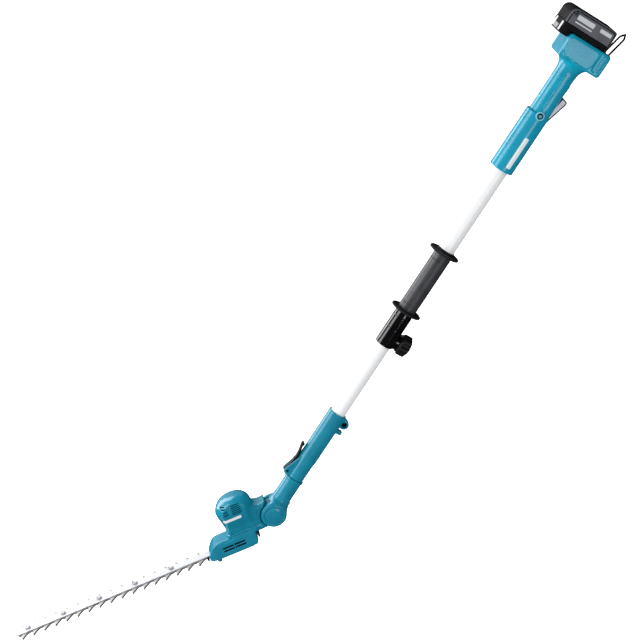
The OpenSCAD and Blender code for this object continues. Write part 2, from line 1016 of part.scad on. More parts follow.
module lower_blade() {
  color(steel) head()
    xy(-46, -43.5)
      blade_outline();
}

outer_pipe();
clamp_collar();
pipe_bush();
front_grip();
grip_flange_front();
grip_flange_rear();
handle_shell_left();
handle_shell_right();
handle_screws();
trigger_pin();
switch_body();
control_board();
terminal_block();
terminal_contacts();
hook_bracket();
clamp_knob();
clamp_screw();
trigger();
switch_plunger();
lock_off_button();
battery_case();
battery_base();
battery_rails();
battery_cells();
battery_button();
hanging_hook();
inner_pipe();
pipe_socket();
socket_bolt();
socket_nut();
neck_fork();
pivot_bolt();
pivot_cap_left();
pivot_cap_right();
lever_pin();
angle_lever();
lock_plunger();
tilt_knuckle();
head_shell_left();
head_shell_right();
head_screws();
gear_case();
case_cover();
cover_bolts();
nose_seal();
rear_buffer();
motor_can();
upper_bearing();
lower_bearing();
guide_bar();
bar_bolts();
bar_nuts();
motor_rotor();
motor_pinion();
motor_fan();
crank_shaft();
crank_gear();
upper_blade();
lower_blade();
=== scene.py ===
"""Cordless pole hedge trimmer: the looks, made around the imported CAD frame.

Shapes are described in millimetres in one of two frames that come from the CAD joints:
POLE has its origin on the tilt pivot and x up the pole, HEAD has the same origin and the
row's own axes, so the blade runs along -x. Every piece is a mesh in metres in its frame."""

import json
import math

import bmesh
import bpy
import numpy as np
import openvdb as vdb
from mathutils import Matrix, Vector
from mathutils.geometry import delaunay_2d_cdt


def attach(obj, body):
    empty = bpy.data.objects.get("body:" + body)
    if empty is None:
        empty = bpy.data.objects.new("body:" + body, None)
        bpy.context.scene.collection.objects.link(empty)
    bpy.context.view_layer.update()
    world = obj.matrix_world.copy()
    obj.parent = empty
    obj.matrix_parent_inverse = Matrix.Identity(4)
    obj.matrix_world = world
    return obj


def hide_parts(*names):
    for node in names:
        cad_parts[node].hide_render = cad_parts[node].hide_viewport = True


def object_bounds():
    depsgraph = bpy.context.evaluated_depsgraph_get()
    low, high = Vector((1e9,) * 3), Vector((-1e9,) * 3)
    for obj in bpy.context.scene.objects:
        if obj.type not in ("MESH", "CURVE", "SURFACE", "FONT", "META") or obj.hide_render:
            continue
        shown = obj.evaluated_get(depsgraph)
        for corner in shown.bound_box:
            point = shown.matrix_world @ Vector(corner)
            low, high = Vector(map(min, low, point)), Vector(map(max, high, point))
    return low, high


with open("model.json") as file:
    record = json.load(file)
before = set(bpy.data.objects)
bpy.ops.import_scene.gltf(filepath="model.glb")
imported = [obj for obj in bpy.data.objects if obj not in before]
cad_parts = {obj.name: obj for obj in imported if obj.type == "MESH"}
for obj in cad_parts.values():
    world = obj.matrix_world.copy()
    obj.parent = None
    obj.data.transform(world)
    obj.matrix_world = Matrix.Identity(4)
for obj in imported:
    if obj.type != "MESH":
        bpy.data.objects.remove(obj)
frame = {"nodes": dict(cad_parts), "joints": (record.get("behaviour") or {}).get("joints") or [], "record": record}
CAD_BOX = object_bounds()

MM = 0.001
JOINTS = {j["name"]: j for j in frame["joints"]}
PIVOT = Vector(JOINTS["head_tilt"]["pos_m"])
UP_POLE = -Vector(JOINTS["pole_extend"]["axis"]).normalized()
ACROSS = Vector((0, 1, 0))
OFF_POLE = UP_POLE.cross(ACROSS)
POLE = Matrix.Translation(PIVOT) @ Matrix((UP_POLE, ACROSS, OFF_POLE)).transposed().to_4x4()
HEAD = Matrix.Translation(PIVOT)


# ---------------------------------------------------------------- camera, lights and floor

VIEW_TURN = math.radians(14.78)      # camera's azimuth and height, seen from the pole's frame
VIEW_RISE = math.radians(16.96)
VIEW_ROLL = math.radians(-61.21)
VIEW_DISTANCE = 4.3838
VIEW_TARGET = Vector((0.4404, 0, 0.1525))
LENS, SENSOR = 113.5, 36.0


def view_axes():
    """The camera's direction, right and up in the row frame."""
    back = Vector((math.cos(VIEW_RISE) * math.sin(VIEW_TURN),
                   -math.cos(VIEW_RISE) * math.cos(VIEW_TURN), math.sin(VIEW_RISE)))
    level = (-back).cross(Vector((0, 0, 1))).normalized()
    above = level.cross(-back)
    right = math.cos(VIEW_ROLL) * level + math.sin(VIEW_ROLL) * above
    up = -math.sin(VIEW_ROLL) * level + math.cos(VIEW_ROLL) * above
    turn = POLE.to_3x3()
    return turn @ back, turn @ right, turn @ up


BACK, RIGHT, UP = view_axes()
TARGET = POLE @ VIEW_TARGET


def added(name, data):
    """A new object in the scene."""
    made = bpy.data.objects.new(name, data)
    bpy.context.scene.collection.objects.link(made)
    return made


def make_camera():
    data = bpy.data.cameras.new("camera")
    data.lens = LENS
    data.sensor_width = SENSOR
    data.clip_start, data.clip_end = 0.1, 60
    cam = added("camera", data)
    turn = Matrix((RIGHT, UP, BACK)).transposed().to_4x4()
    cam.matrix_world = Matrix.Translation(TARGET + BACK * VIEW_DISTANCE) @ turn
    bpy.context.scene.camera = cam


def softbox(name, direction, distance, size, radiance, glossy=True):
    """A rectangular light that faces the object, placed by its direction in the pole frame."""
    data = bpy.data.lights.new(name, "AREA")
    data.shape = "RECTANGLE"
    data.size, data.size_y = size
    data.energy = radiance * math.pi * size[0] * size[1]
    lamp = added(name, data)
    out = (POLE.to_3x3() @ Vector(direction)).normalized()
    centre = TARGET + out * distance
    long_way = UP_POLE - out * UP_POLE.dot(out)
    long_way.normalize()
    turn = Matrix((out.cross(long_way).cross(out).normalized(), out.cross(long_way), out))
    lamp.matrix_world = Matrix.Translation(centre) @ turn.transposed().to_4x4()
    lamp.visible_glossy = glossy
    lamp.visible_camera = False


def make_lights():
    softbox("key_panel", (0.03, -0.95, -0.31), 3.0, (1.15, 1.0), 3.2)
    softbox("front_fill", (-0.3, -0.9, 0.2), 3.4, (3.6, 2.0), 1.2, glossy=False)
    softbox("upper_strip", (-0.24, -0.22, 0.95), 2.2, (2.6, 1.1), 4.2)
    softbox("rim_strip", (-0.20, 0.62, 0.76), 2.2, (2.8, 1.1), 5.0)
    softbox("back_panel", (0.20, 0.92, 0.32), 3.2, (4.2, 2.4), 0.38)
    world = bpy.data.worlds.new("studio")
    world.use_nodes = True
    world.node_tree.nodes["Background"].inputs["Color"].default_value = (1, 1, 1, 1)
    world.node_tree.nodes["Background"].inputs["Strength"].default_value = 0.62
    world.cycles_visibility.glossy = False
    bpy.context.scene.world = world
    bpy.context.scene.view_settings.view_transform = "Standard"


def make_floor(drop=0.30, size=40.0):
    low = CAD_BOX[0].z - drop
    mesh = bpy.data.meshes.new("floor")
    half = size / 2
    mesh.from_pydata([(-half, -half, low), (half, -half, low), (half, half, low), (-half, half, low)],
                     [], [(0, 1, 2, 3)])
    floor = added("floor", mesh)
    paper = bpy.data.materials.new("pale_paper")
    paper.use_nodes = True
    shader = paper.node_tree.nodes["Principled BSDF"]
    shader.inputs["Base Color"].default_value = (0.92, 0.92, 0.92, 1)
    shader.inputs["Roughness"].default_value = 0.9
    shader.inputs["Emission Color"].default_value = (1, 1, 1, 1)
    shader.inputs["Emission Strength"].default_value = 0.95
    mesh.materials.append(paper)
    floor.visible_glossy = False
    floor.visible_diffuse = False


# ---------------------------------------------------------------- materials

def srgb(r, g, b):
    """Linear colour from 0-255 display values."""
    return tuple((c / 255 / 12.92 if c < 11 else ((c / 255 + 0.055) / 1.055) ** 2.4)
                 for c in (r, g, b))


class Paint:
    """A node material: two shades mixed by noise, patterned roughness, grain bump, and marks painted over the
    colour: prints, painted shade, a painted highlight and a painted reflection.
    """

    def __init__(self, name, **sockets):
        self.material = bpy.data.materials.new(name)
        self.material.use_nodes = True
        self.tree = self.material.node_tree
        self.shader = self.tree.nodes["Principled BSDF"]
        self.coords = self.tree.nodes.new("ShaderNodeTexCoord").outputs["Object"]
        self.colour = None
        for socket, value in sockets.items():
            self.shader.inputs[socket.replace("_", " ")].default_value = value

    def node(self, kind, **settings):
        made = self.tree.nodes.new(kind)
        for key, value in settings.items():
            setattr(made, key, value)
        return made

    def link(self, start, end):
        self.tree.links.new(start, end)

    def noise(self, scale, detail=2.0, stretch=(1, 1, 1), rough=0.5):
        """Noise with about `scale` spots a metre."""
        coords = self.coords
        if stretch != (1, 1, 1):
            mapping = self.node("ShaderNodeMapping")
            mapping.inputs["Scale"].default_value = stretch
            self.link(self.coords, mapping.inputs["Vector"])
            coords = mapping.outputs["Vector"]
        tex = self.node("ShaderNodeTexNoise")
        tex.inputs["Scale"].default_value = scale
        tex.inputs["Detail"].default_value = detail
        tex.inputs["Roughness"].default_value = rough
        self.link(coords, tex.inputs["Vector"])
        return tex.outputs["Fac"]

    def ramp(self, value, low, high, out_low=0.0, out_high=1.0):
        made = self.node("ShaderNodeMapRange")
        made.inputs["From Min"].default_value = low
        made.inputs["From Max"].default_value = high
        made.inputs["To Min"].default_value = out_low
        made.inputs["To Max"].default_value = out_high
        self.link(value, made.inputs["Value"])
        return made.outputs["Result"]

    def shades(self, dark, light, pattern):
        mix = self.node("ShaderNodeMix", data_type="RGBA")
        mix.inputs["A"].default_value = (*dark, 1)
        mix.inputs["B"].default_value = (*light, 1)
        self.link(pattern, mix.inputs["Factor"])
        self.colour = mix.outputs["Result"]

    def over(self, colour, mask):
        """Paints colour over what is there, where mask is 1."""
        mix = self.node("ShaderNodeMix", data_type="RGBA")
        self.link(self.colour, mix.inputs["A"])
        mix.inputs["B"].default_value = (*colour, 1)
        self.link(mask, mix.inputs["Factor"])
        self.colour = mix.outputs["Result"]

    def roughness(self, value, low, high):
        self.link(self.ramp(value, 0.3, 0.7, low, high), self.shader.inputs["Roughness"])

    def bump(self, height, distance):
        made = self.node("ShaderNodeBump")
        made.inputs["Distance"].default_value = distance
        self.link(height, made.inputs["Height"])
        self.link(made.outputs["Normal"], self.shader.inputs["Normal"])

    def math(self, operation, a, b=None):
        made = self.node("ShaderNodeMath", operation=operation)
        for socket, value in zip(made.inputs, (a, b)):
            if value is None:
                continue
            if isinstance(value, (int, float)):
                socket.default_value = value
            else:
                self.link(value, socket)
        return made.outputs[0]

    def split(self):
        """The X, Y and Z of the piece's frame."""
        made = self.node("ShaderNodeSeparateXYZ")
        self.link(self.coords, made.inputs[0])
        return made.outputs

    def panel(self, centre, half, corner, soft=0.25, axes=("X", "Z"), slant=0.0):
        """Mask that is 1 inside a rounded rectangle, in millimetres of the piece's frame."""
        place_at = self.split()
        u = self.math("SUBTRACT", place_at[axes[0]], centre[0] * MM)
        v = self.math("SUBTRACT", place_at[axes[1]], centre[1] * MM)
        if slant:
            u = self.math("SUBTRACT", u, self.math("MULTIPLY", v, slant))
        gap = []
        for value, extent in ((u, half[0]), (v, half[1])):
            over = self.math("SUBTRACT", self.math("ABSOLUTE", value), (extent - corner) * MM)
            gap.append(self.math("MAXIMUM", over, 0.0))
        far = self.math("SQRT", self.math("ADD", self.math("MULTIPLY", gap[0], gap[0]),
                                          self.math("MULTIPLY", gap[1], gap[1])))
        return self.ramp(far, (corner - soft) * MM, (corner + soft) * MM, 1.0, 0.0)

    def inside(self, axis, low, high, absolute=False):
        """Mask that is 1 where the coordinate lies between low and high millimetres."""
        value = self.split()[axis]
        if absolute:
            value = self.math("ABSOLUTE", value)
        return self.math("MULTIPLY", self.math("GREATER_THAN", value, low * MM),
                         self.math("LESS_THAN", value, high * MM))

    def done(self):
        if self.colour is not None:
            self.link(self.colour, self.shader.inputs["Base Color"])
        return self.material


TEAL = (srgb(0, 143, 173), srgb(0, 153, 184))
DEEP_TEAL = (srgb(0, 123, 150), srgb(0, 132, 160))
PRINT = srgb(232, 238, 240)
LOCK_X = 1067                        # lock-off button, up the pole


def plastic(name, dark, light, rough, grain, depth, **sockets):
    """Injection-moulded plastic: faint cloudiness, fine spark-eroded grain and soft handling wear."""
    paint = Paint(name, **sockets)
    paint.shades(dark, light, paint.ramp(paint.noise(38, 3), 0.35, 0.65))
    paint.roughness(paint.noise(55, 4), rough[0], rough[1])
    paint.bump(paint.noise(grain, 2), depth)
    return paint


def teal_plastic(name, shades, *marks):
    """Glossy teal housing plastic, with printed panels given as (centre, half, corner, slant)."""
    paint = plastic(name, *shades, (0.24, 0.32), 900, 0.000003,
                    Coat_Weight=0.5, Coat_Roughness=0.09, Specular_IOR_Level=0.4)
    for centre, half, corner, slant in marks:
        paint.over(PRINT, paint.panel(centre, half, corner, slant=slant))
    return paint


def painted_metal(name):
    """Die-cast alloy under satin teal paint, with orange peel."""
    paint = Paint(name, Coat_Weight=0.45, Coat_Roughness=0.10, Specular_IOR_Level=0.35)
    paint.shades(*DEEP_TEAL, paint.ramp(paint.noise(30, 3), 0.35, 0.65))
    paint.roughness(paint.noise(60, 4), 0.30, 0.40)
    paint.bump(paint.noise(420, 2), 0.000012)
    return paint


def metal(name, dark, light, rough, stretch, scale, depth, bare):
    """Metal with drawn or ground lines along the axis whose stretch is small; bare is less than
    1 where the surface is dulled."""
    paint = Paint(name, Metallic=bare)
    lines = paint.noise(scale, 4, stretch, 0.6)
    paint.shades(dark, light, paint.ramp(lines, 0.3, 0.7))
    paint.roughness(lines, rough[0], rough[1])
    paint.bump(lines, depth)
    return paint


# dark and light shade, roughness range, grain a metre and its depth, and extra sockets
PLASTICS = {
    "black_plastic": (srgb(20, 20, 22), srgb(26, 26, 28), (0.38, 0.50), 1800, 0.00004,
                      {"Specular_IOR_Level": 0.35}),
    "black_gloss": (srgb(10, 10, 12), srgb(15, 15, 17), (0.10, 0.16), 500, 0.000002,
                    {"Coat_Weight": 0.5, "Coat_Roughness": 0.04}),
    "dark_plastic": (srgb(34, 34, 37), srgb(42, 42, 45), (0.36, 0.46), 1500, 0.00006, {}),
    "grey_plastic": (srgb(88, 89, 94), srgb(100, 101, 106), (0.34, 0.44), 1500, 0.00005, {}),
    "grip_rubber": (srgb(50, 51, 56), srgb(60, 61, 66), (0.38, 0.46), 1300, 0.00002,
                    {"Specular_IOR_Level": 0.7}),
    "flange_rubber": (srgb(28, 29, 32), srgb(36, 37, 40), (0.48, 0.58), 1300, 0.00008,
                      {"Specular_IOR_Level": 0.3}),
    "latch_plastic": (srgb(170, 172, 176), srgb(184, 186, 190), (0.2, 0.3), 1200, 0.00003, {}),
    "circuit_board": ((0.01, 0.09, 0.03), (0.015, 0.12, 0.045), (0.25, 0.35), 900, 0.00002, {}),
    "cell_wrap": ((0.02, 0.16, 0.14), (0.03, 0.20, 0.17), (0.20, 0.30), 600, 0.00001, {}),
}
# dark and light shade, roughness range, stretch of the lines, lines a metre, depth and bareness
METALS = {
    "bright_steel": ((0.62, 0.63, 0.65), (0.74, 0.75, 0.77), (0.22, 0.34), (1, 1, 1), 500, 0.00002, 0.6),
    "blade_steel": ((0.34, 0.33, 0.325), (0.44, 0.43, 0.42), (0.28, 0.42), (1, 0.03, 1), 600, 0.00002,
                    0.45),
    "bar_steel": ((0.66, 0.68, 0.73), (0.76, 0.78, 0.83), (0.26, 0.38), (0.03, 1, 1), 600, 0.00002,
                  0.45),
    "black_steel": ((0.02, 0.02, 0.022), (0.035, 0.035, 0.037), (0.30, 0.45), (1, 1, 1), 300, 0.00002,
                    1.0),
    "cast_alloy": ((0.40, 0.41, 0.42), (0.50, 0.51, 0.52), (0.42, 0.55), (1, 1, 1), 260, 0.00008, 1.0),
    "contact_brass": ((0.62, 0.43, 0.15), (0.74, 0.54, 0.22), (0.24, 0.36), (1, 1, 0.05), 700, 0.00002,
                      1.0),
}


def make_materials():
    made = {}
    stripe = ((-88, 33), (21.5, 3.6), 1.6, 0.25)
    made["teal_housing"] = teal_plastic("teal_housing", DEEP_TEAL, stripe).done()
    handle_stripe = ((975, -4), (38, 5.2), 2.0, 0.0)
    grip = teal_plastic("teal_handle", TEAL, handle_stripe)
    disc = grip.panel((LOCK_X, 0), (9.3, 9.3), 9.3)
    round_button = grip.math("SUBTRACT", 1.0, grip.panel((LOCK_X, 0), (7.9, 7.9), 7.9))
    grip.over(srgb(170, 214, 226), grip.math("MULTIPLY", disc, round_button))
    made["teal_handle"] = grip.done()
    made["teal_metal"] = painted_metal("teal_metal").done()
    case = painted_metal("teal_case")
    # painted shade: the bottoms of the two side slots are painted near black, standing in for the dark inside of
    # open vents
    inner = case.inside("Y", -25.2, 25.2)
    vent_shade = case.panel((-109, -33.2), (28, 6.6), 1.0, 0.1)
    case.over(srgb(8, 24, 34), case.math("MULTIPLY", inner, vent_shade))
    made["teal_case"] = case.done()

    for name, (dark, light, rough, grain, depth, sockets) in PLASTICS.items():
        made[name] = plastic(name, dark, light, rough, grain, depth, **sockets).done()
    for name, (dark, light, rough, stretch, scale, depth, bare) in METALS.items():
        made[name] = metal(name, dark, light, rough, stretch, scale, depth, bare).done()

    lever = plastic("trigger_plastic", srgb(20, 20, 22), srgb(26, 26, 28), (0.28, 0.38), 1800,
                    0.00003)
    # painted reflection: the recessed flat sides of the trigger are painted pale grey, standing in for the light
    # they reflect
    lever.over(srgb(205, 205, 214), lever.inside("Y", 6.2, 7.3, absolute=True))
    made["trigger_plastic"] = lever.done()
    button = plastic("button_plastic", srgb(18, 22, 28), srgb(26, 30, 36), (0.2, 0.3), 900, 0.00002)
    button.over(srgb(120, 150, 165), button.inside("Y", -30, -28.2))
    made["button_plastic"] = button.done()
    pack = plastic("battery_plastic", srgb(84, 86, 92), srgb(94, 96, 102), (0.48, 0.58), 1500, 0.00002,
                   Specular_IOR_Level=0.2)
    edges = pack.math("SUBTRACT", 1.0, pack.inside("Y", 34.0, 37.05, absolute=True))
    pack.over(srgb(13, 13, 15), edges)
    for centre, half in (((1284, 34), (5.2, 21)), ((1285, -16), (4.0, 14)), ((1273, 34), (1.4, 21))):
        pack.over(srgb(196, 200, 206), pack.panel(centre, half, 1.2))
    made["battery_plastic"] = pack.done()
    tray = plastic("battery_black", srgb(12, 12, 14), srgb(18, 18, 20), (0.46, 0.56), 1500, 0.00002,
                   Specular_IOR_Level=0.2)
    # painted highlight: the tray's top face on each side of the latch is painted near white, standing in for the
    # highlight it catches
    for y in (24, -24):
        end = tray.panel((1250.5, y), (10.5, 5.5), 2.0, axes=("X", "Y"))
        tray.over(srgb(214, 216, 222), tray.math("MULTIPLY", tray.inside("Z", 73.0, 76), end))
    made["battery_black"] = tray.done()

    tube = Paint("pole_aluminium", Metallic=0.05)
    drawn = tube.noise(700, 4, (0.02, 1, 1), 0.6)
    tube.shades(srgb(240, 241, 243), srgb(247, 248, 249), tube.ramp(drawn, 0.3, 0.7))
    tube.roughness(drawn, 0.30, 0.40)
    tube.bump(drawn, 0.000015)
    made["pole_aluminium"] = tube.done()
    return made


make_camera()
make_lights()
make_floor()
MATERIALS = make_materials()


# ---------------------------------------------------------------- solid modelling on a grid

def smin(a, b, k):
    """Union of two distance fields with a fillet of about k."""
    h = np.maximum(k - np.abs(a - b), 0.0)
    return np.minimum(a, b) - h * h / (4 * k)


def smax(a, b, k):
    """Intersection of two distance fields with a rounded edge of about k."""
    h = np.maximum(k - np.abs(a - b), 0.0)
    return np.maximum(a, b) + h * h / (4 * k)


def cut(a, b, k):
    return smax(a, -b, k)


def span(u, low, high):
    return np.maximum(low - u, u - high)


def rod(a, b, radius):
    """Endless round bar, a and b measured from its axis."""
    return np.sqrt(a * a + b * b) - radius


def curve(u, points, blur):
    """Smooth value along u through (u, value) points, softened over blur."""
    us = np.linspace(points[0][0] - 3 * blur, points[-1][0] + 3 * blur, 800)
    vs = np.interp(us, [p[0] for p in points], [p[1] for p in points])
    reach = max(1, int(blur / (us[1] - us[0])))
    window = np.hanning(2 * reach + 1)
    padded = np.concatenate([np.full(reach, vs[0]), vs, np.full(reach, vs[-1])])
    vs = np.convolve(padded, window / window.sum(), "valid")
    return np.interp(u, us, vs).astype(np.float32)


def outline(u, v, points, k):
    """Convex outline with its corners rounded, points anticlockwise in u and v."""
    made = None
    for (u0, v0), (u1, v1) in zip(points, points[1:] + points[:1]):
        length = math.hypot(u1 - u0, v1 - v0)
        edge = ((u - u0) * (v1 - v0) - (v - v0) * (u1 - u0)) / length
        made = edge if made is None else smax(made, edge, k)
    return made


def block(g, low, high, k, both=False):
    """Box between two corners with rounded edges, or one on each side of the middle."""
    across = g.side if both else g.y
    a = smax(span(g.x, low[0], high[0]), span(across, low[1], high[1]), k)
    return smax(a, span(g.z, low[2], high[2]), k)


def through(g, at, radius):
    """Endless round bar across the object, its axis at (x, z)."""
    return rod(g.x - at[0], g.z - at[1], radius)


class Grid:
    """Sampling points around one moulding, in millimetres; side is the distance from the middle."""

    def __init__(self, low, high, step):
        self.step = step * 1.0
        self.low = np.array(low, float) - 3 * self.step
        axes = [np.arange(a, b + 3 * self.step, self.step, dtype=np.float32)
                for a, b in zip(self.low, high)]
        self.x, self.y, self.z = np.meshgrid(*axes, indexing="ij", sparse=True)
        self.side = np.abs(self.y)
        self.shape = tuple(len(a) for a in axes)


def sample(field, at):
    """Trilinear values of field at points given in grid steps."""
    top = np.array(field.shape) - 2
    base = np.clip(np.floor(at).astype(int), 0, top)
    t = at - base
    value = np.zeros(len(at))
    for corner in range(8):
        bits = np.array([corner & 1, corner >> 1 & 1, corner >> 2 & 1])
        index = base + bits
        weight = np.prod(np.where(bits, t, 1 - t), axis=1)
        value += weight * field[index[:, 0], index[:, 1], index[:, 2]]
    return value


def slope(field, at, reach=0.6):
    """Direction in which the field grows fastest at each point."""
    found = np.stack([sample(field, at + reach * e) - sample(field, at - reach * e)
                      for e in np.eye(3)], axis=1)
    return found / np.maximum(np.linalg.norm(found, axis=1, keepdims=True), 1e-9)


def moulding(name, grid, field, local, body, material, nodes, adapt=0.02):
    """Meshes the surface where the field is zero, with the field's own smooth normals."""
    steps = np.clip(np.broadcast_to(field, grid.shape) / grid.step, -3, 3).astype(np.float32)
    volume = vdb.FloatGrid(background=3.0)
    volume.copyFromArray(steps)
    points, tris, quads = volume.convertToPolygons(isovalue=0.0, adaptivity=adapt)
    points = points.astype(float)
    for _ in range(2):
        push = np.clip(sample(steps, points), -0.5, 0.5)
        points -= slope(steps, points) * push[:, None] * 0.9
    normals = slope(steps, points, 1.3)
    faces = [tuple(f) for f in np.asarray(tris)] + [tuple(f) for f in np.asarray(quads)]
    mesh = bpy.data.meshes.new(name)
    mesh.from_pydata(((points * grid.step + grid.low) * MM).tolist(), [], faces)
    mesh.update()
    first = mesh.polygons[0]
    if first.normal.dot(Vector(normals[first.vertices[0]])) < 0:
        mesh.flip_normals()
    mesh.validate()
    mesh.polygons.foreach_set("use_smooth", [True] * len(mesh.polygons))
    if len(mesh.vertices) == len(normals):
        mesh.normals_split_custom_set_from_vertices(normals.tolist())
    place(name, mesh, local, body, material, nodes)


def place(name, mesh, local, body, material, nodes=()):
    """Puts a mesh in the scene in its frame, riding on its body and standing for CAD nodes."""
    mesh.materials.clear()
    mesh.materials.append(MATERIALS[material])
    piece = added(name, mesh)
    piece.matrix_world = local
    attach(piece, body)
    if nodes:
        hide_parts(*nodes)


# ---------------------------------------------------------------- turned, flat and bent pieces

def crease(mesh, degrees=32):
    """Smooth shading with edges sharper than the angle kept crisp."""
    bm = bmesh.new()
    bm.from_mesh(mesh)
    bmesh.ops.recalc_face_normals(bm, faces=bm.faces)
    for face in bm.faces:
        face.smooth = True
    for edge in bm.edges:
        edge.smooth = len(edge.link_faces) == 2 and edge.calc_face_angle(0) < math.radians(degrees)
    bm.to_mesh(mesh)
    bm.free()
    return mesh


AXES = {"x": Matrix(((0, 0, 1), (1, 0, 0), (0, 1, 0))),
        "y": Matrix(((0, 1, 0), (0, 0, 1), (1, 0, 0))),
        "z": Matrix.Identity(3)}


def turned(profile, axis, at, segments):
    """Points and faces of a closed profile of (radius, place along the axis) turned about it."""
    points, faces, rings = [], [], []
    for radius, along in profile:
        count = segments if radius > 1e-6 else 1
        rings.append((len(points), count))
        for i in range(count):
            a = 2 * math.pi * i / segments
            p = AXES[axis] @ Vector((radius * math.cos(a), radius * math.sin(a), along))
            points.append((p + Vector(at)) * MM)
    for (s0, n0), (s1, n1) in zip(rings, rings[1:] + rings[:1]):
        if n0 == 1 and n1 == 1:
            continue
        for i in range(segments):
            j = (i + 1) % segments
            if n0 == 1:
                faces.append((s0, s1 + j, s1 + i))
            elif n1 == 1:
                faces.append((s0 + i, s0 + j, s1))
            else:
                faces.append((s0 + i, s0 + j, s1 + j, s1 + i))
    return points, faces


def gathered(name, parts, local, body, material, nodes=()):
    """One piece from several (points, faces)."""
    points, faces = [], []
    for pts, fcs in parts:
        start = len(points)
        points += [tuple(p) for p in pts]
        faces += [tuple(start + i for i in f) for f in fcs]
    mesh = bpy.data.meshes.new(name)
    mesh.from_pydata(points, [], faces)
    mesh.update()
    place(name, crease(mesh), local, body, material, nodes)


def lathe(name, profiles, axis, body, material, nodes, segments, at=(0, 0, 0)):
    """Turned piece in POLE."""
    parts = [turned(p, axis, at, segments) for p in profiles]
    gathered(name, parts, POLE, body, material, nodes)


def arc(centre, radius, start, end, steps):
    """Points of an arc, in degrees."""
    return [(centre[0] + radius * math.cos(math.radians(start + (end - start) * i / steps)),
             centre[1] + radius * math.sin(math.radians(start + (end - start) * i / steps)))
            for i in range(steps + 1)]


def area_of(loop):
    return sum(a[0] * b[1] - b[0] * a[1] for a, b in zip(loop, loop[1:] + loop[:1])) / 2


def shifted(loop, inward):
    """The loop moved to the solid's inner side by a chamfer's width, mitred at its corners."""
    made = []
    count = len(loop)
    for i in range(count):
        a, b, c = Vector(loop[i - 1]), Vector(loop[i]), Vector(loop[(i + 1) % count])
        e, f = (b - a).normalized(), (c - b).normalized()
        n = Vector((-e.y, e.x)) + Vector((-f.y, f.x))
        if n.length < 1e-6:
            n = Vector((-e.y, e.x))
        n.normalize()
        lean = max(n.dot(Vector((-e.y, e.x))), 0.45)
        made.append(tuple(b + n * inward / lean))
    return made


def plate(rim, holes, low, high, chamfer):
    """Points and faces of a flat plate with chamfered edges, from z low to high."""
    loops = [rim if area_of(rim) > 0 else rim[::-1]]
    loops += [h if area_of(h) < 0 else h[::-1] for h in holes]
    points, faces = [], []
    caps = {low: [], high: []}
    for loop in loops:
        inner = shifted(loop, chamfer)
        rings = [(inner, low), (loop, low + chamfer), (loop, high - chamfer), (inner, high)]
        starts = []
        for ring, z in rings:
            starts.append(len(points))
            points += [Vector((x, y, z)) * MM for x, y in ring]
        count = len(loop)
        for s0, s1 in zip(starts, starts[1:]):
            faces += [(s0 + i, s0 + (i + 1) % count, s1 + (i + 1) % count, s1 + i)
                      for i in range(count)]
        caps[low].append((starts[0], inner))
        caps[high].append((starts[-1], inner))
    for rings in caps.values():
        flat, index, loops_in = [], [], []
        for start, ring in rings:
            loops_in.append(list(range(len(flat), len(flat) + len(ring))))
            flat += [Vector(p) for p in ring]
            index += list(range(start, start + len(ring)))
        out = delaunay_2d_cdt(flat, [], loops_in, 2, 1e-6)
        origin = [ids[0] if ids else None for ids in out[3]]
        for face in out[2]:
            spots = [origin[i] for i in face]
            if None not in spots:
                faces.append(tuple(index[i] for i in spots))
    return points, faces


def rounded(low, high, radius):
    """Rounded rectangle, anticlockwise."""
    (x0, y0), (x1, y1) = low, high
    made = []
    for cx, cy, start in ((x1 - radius, y0 + radius, -90), (x1 - radius, y1 - radius, 0),
                          (x0 + radius, y1 - radius, 90), (x0 + radius, y0 + radius, 180)):
        made += arc((cx, cy), radius, start, start + 90, 5)
    return made


def circle(centre, radius, count):
    return [(centre[0] + radius * math.cos(2 * math.pi * i / count),
             centre[1] + radius * math.sin(2 * math.pi * i / count)) for i in range(count)]


def bent_rod(name, path, radius, local, body, material, nodes):
    """A round wire along the points."""
    data = bpy.data.curves.new(name, "CURVE")
    data.dimensions = "3D"
    data.bevel_depth = radius * MM
    data.bevel_resolution = 6
    data.use_fill_caps = True
    data.resolution_u = 8
    line = data.splines.new("NURBS")
    line.points.add(len(path) - 1)
    for point, place_at in zip(line.points, path):
        point.co = (*(Vector(place_at) * MM), 1)
    line.order_u = 3
    line.use_endpoint_u = True
    holder = added(name + "_line", data)
    bpy.context.view_layer.update()
    mesh = bpy.data.meshes.new_from_object(holder.evaluated_get(
        bpy.context.evaluated_depsgraph_get()))
    bpy.data.objects.remove(holder)
    place(name, crease(mesh, 40), local, body, material, nodes)


# ---------------------------------------------------------------- the cutter head, in HEAD

DOME_X = -77.5
WALL = 2.6
HEAD_SCREWS = ((-105.3, 50.6), (-37.4, -15.3), (-105.6, 5.7))
SCREW_HEAD_R = 3.3
ARM_GAP_R = 31.6                     # the arm stays this far from the tilt pivot
CASE_SCREWS_FRONT, CASE_SCREWS_REAR, CASE_SCREWS_Y = -153, -60, (-18, 18)
CRANK_X = -102


def dome(g):
    """Motor housing: round from above, flat on its sides, with a low crown."""
    out = np.sqrt((g.x - DOME_X) ** 2 + g.y ** 2)
    from_top = np.sqrt((g.x - DOME_X - 2.5) ** 2 + g.y ** 2)
    wide = curve(g.z, [(-14, 45), (-9, 41.5), (-3, 38.4), (6, 37), (25, 39.4), (40, 42.4),
                       (50, 43.2), (60, 42.4), (80, 37)], 4)
    crown = curve(from_top, [(0, 77.8), (12, 77.3), (22, 75), (31, 70.4), (38, 64), (46, 52)], 3)
    flat = curve(g.z, [(-14, 25), (-8, 23.2), (6, 24.4), (24, 30), (36, 32.8), (46, 33.8),
                       (60, 33.4), (80, 30.5)], 4)
    made = smax(out - wide, g.z - crown, 7)
    made = smax(made, g.side - flat, 0.8)
    return smax(made, -11.8 - g.z, 0.6)


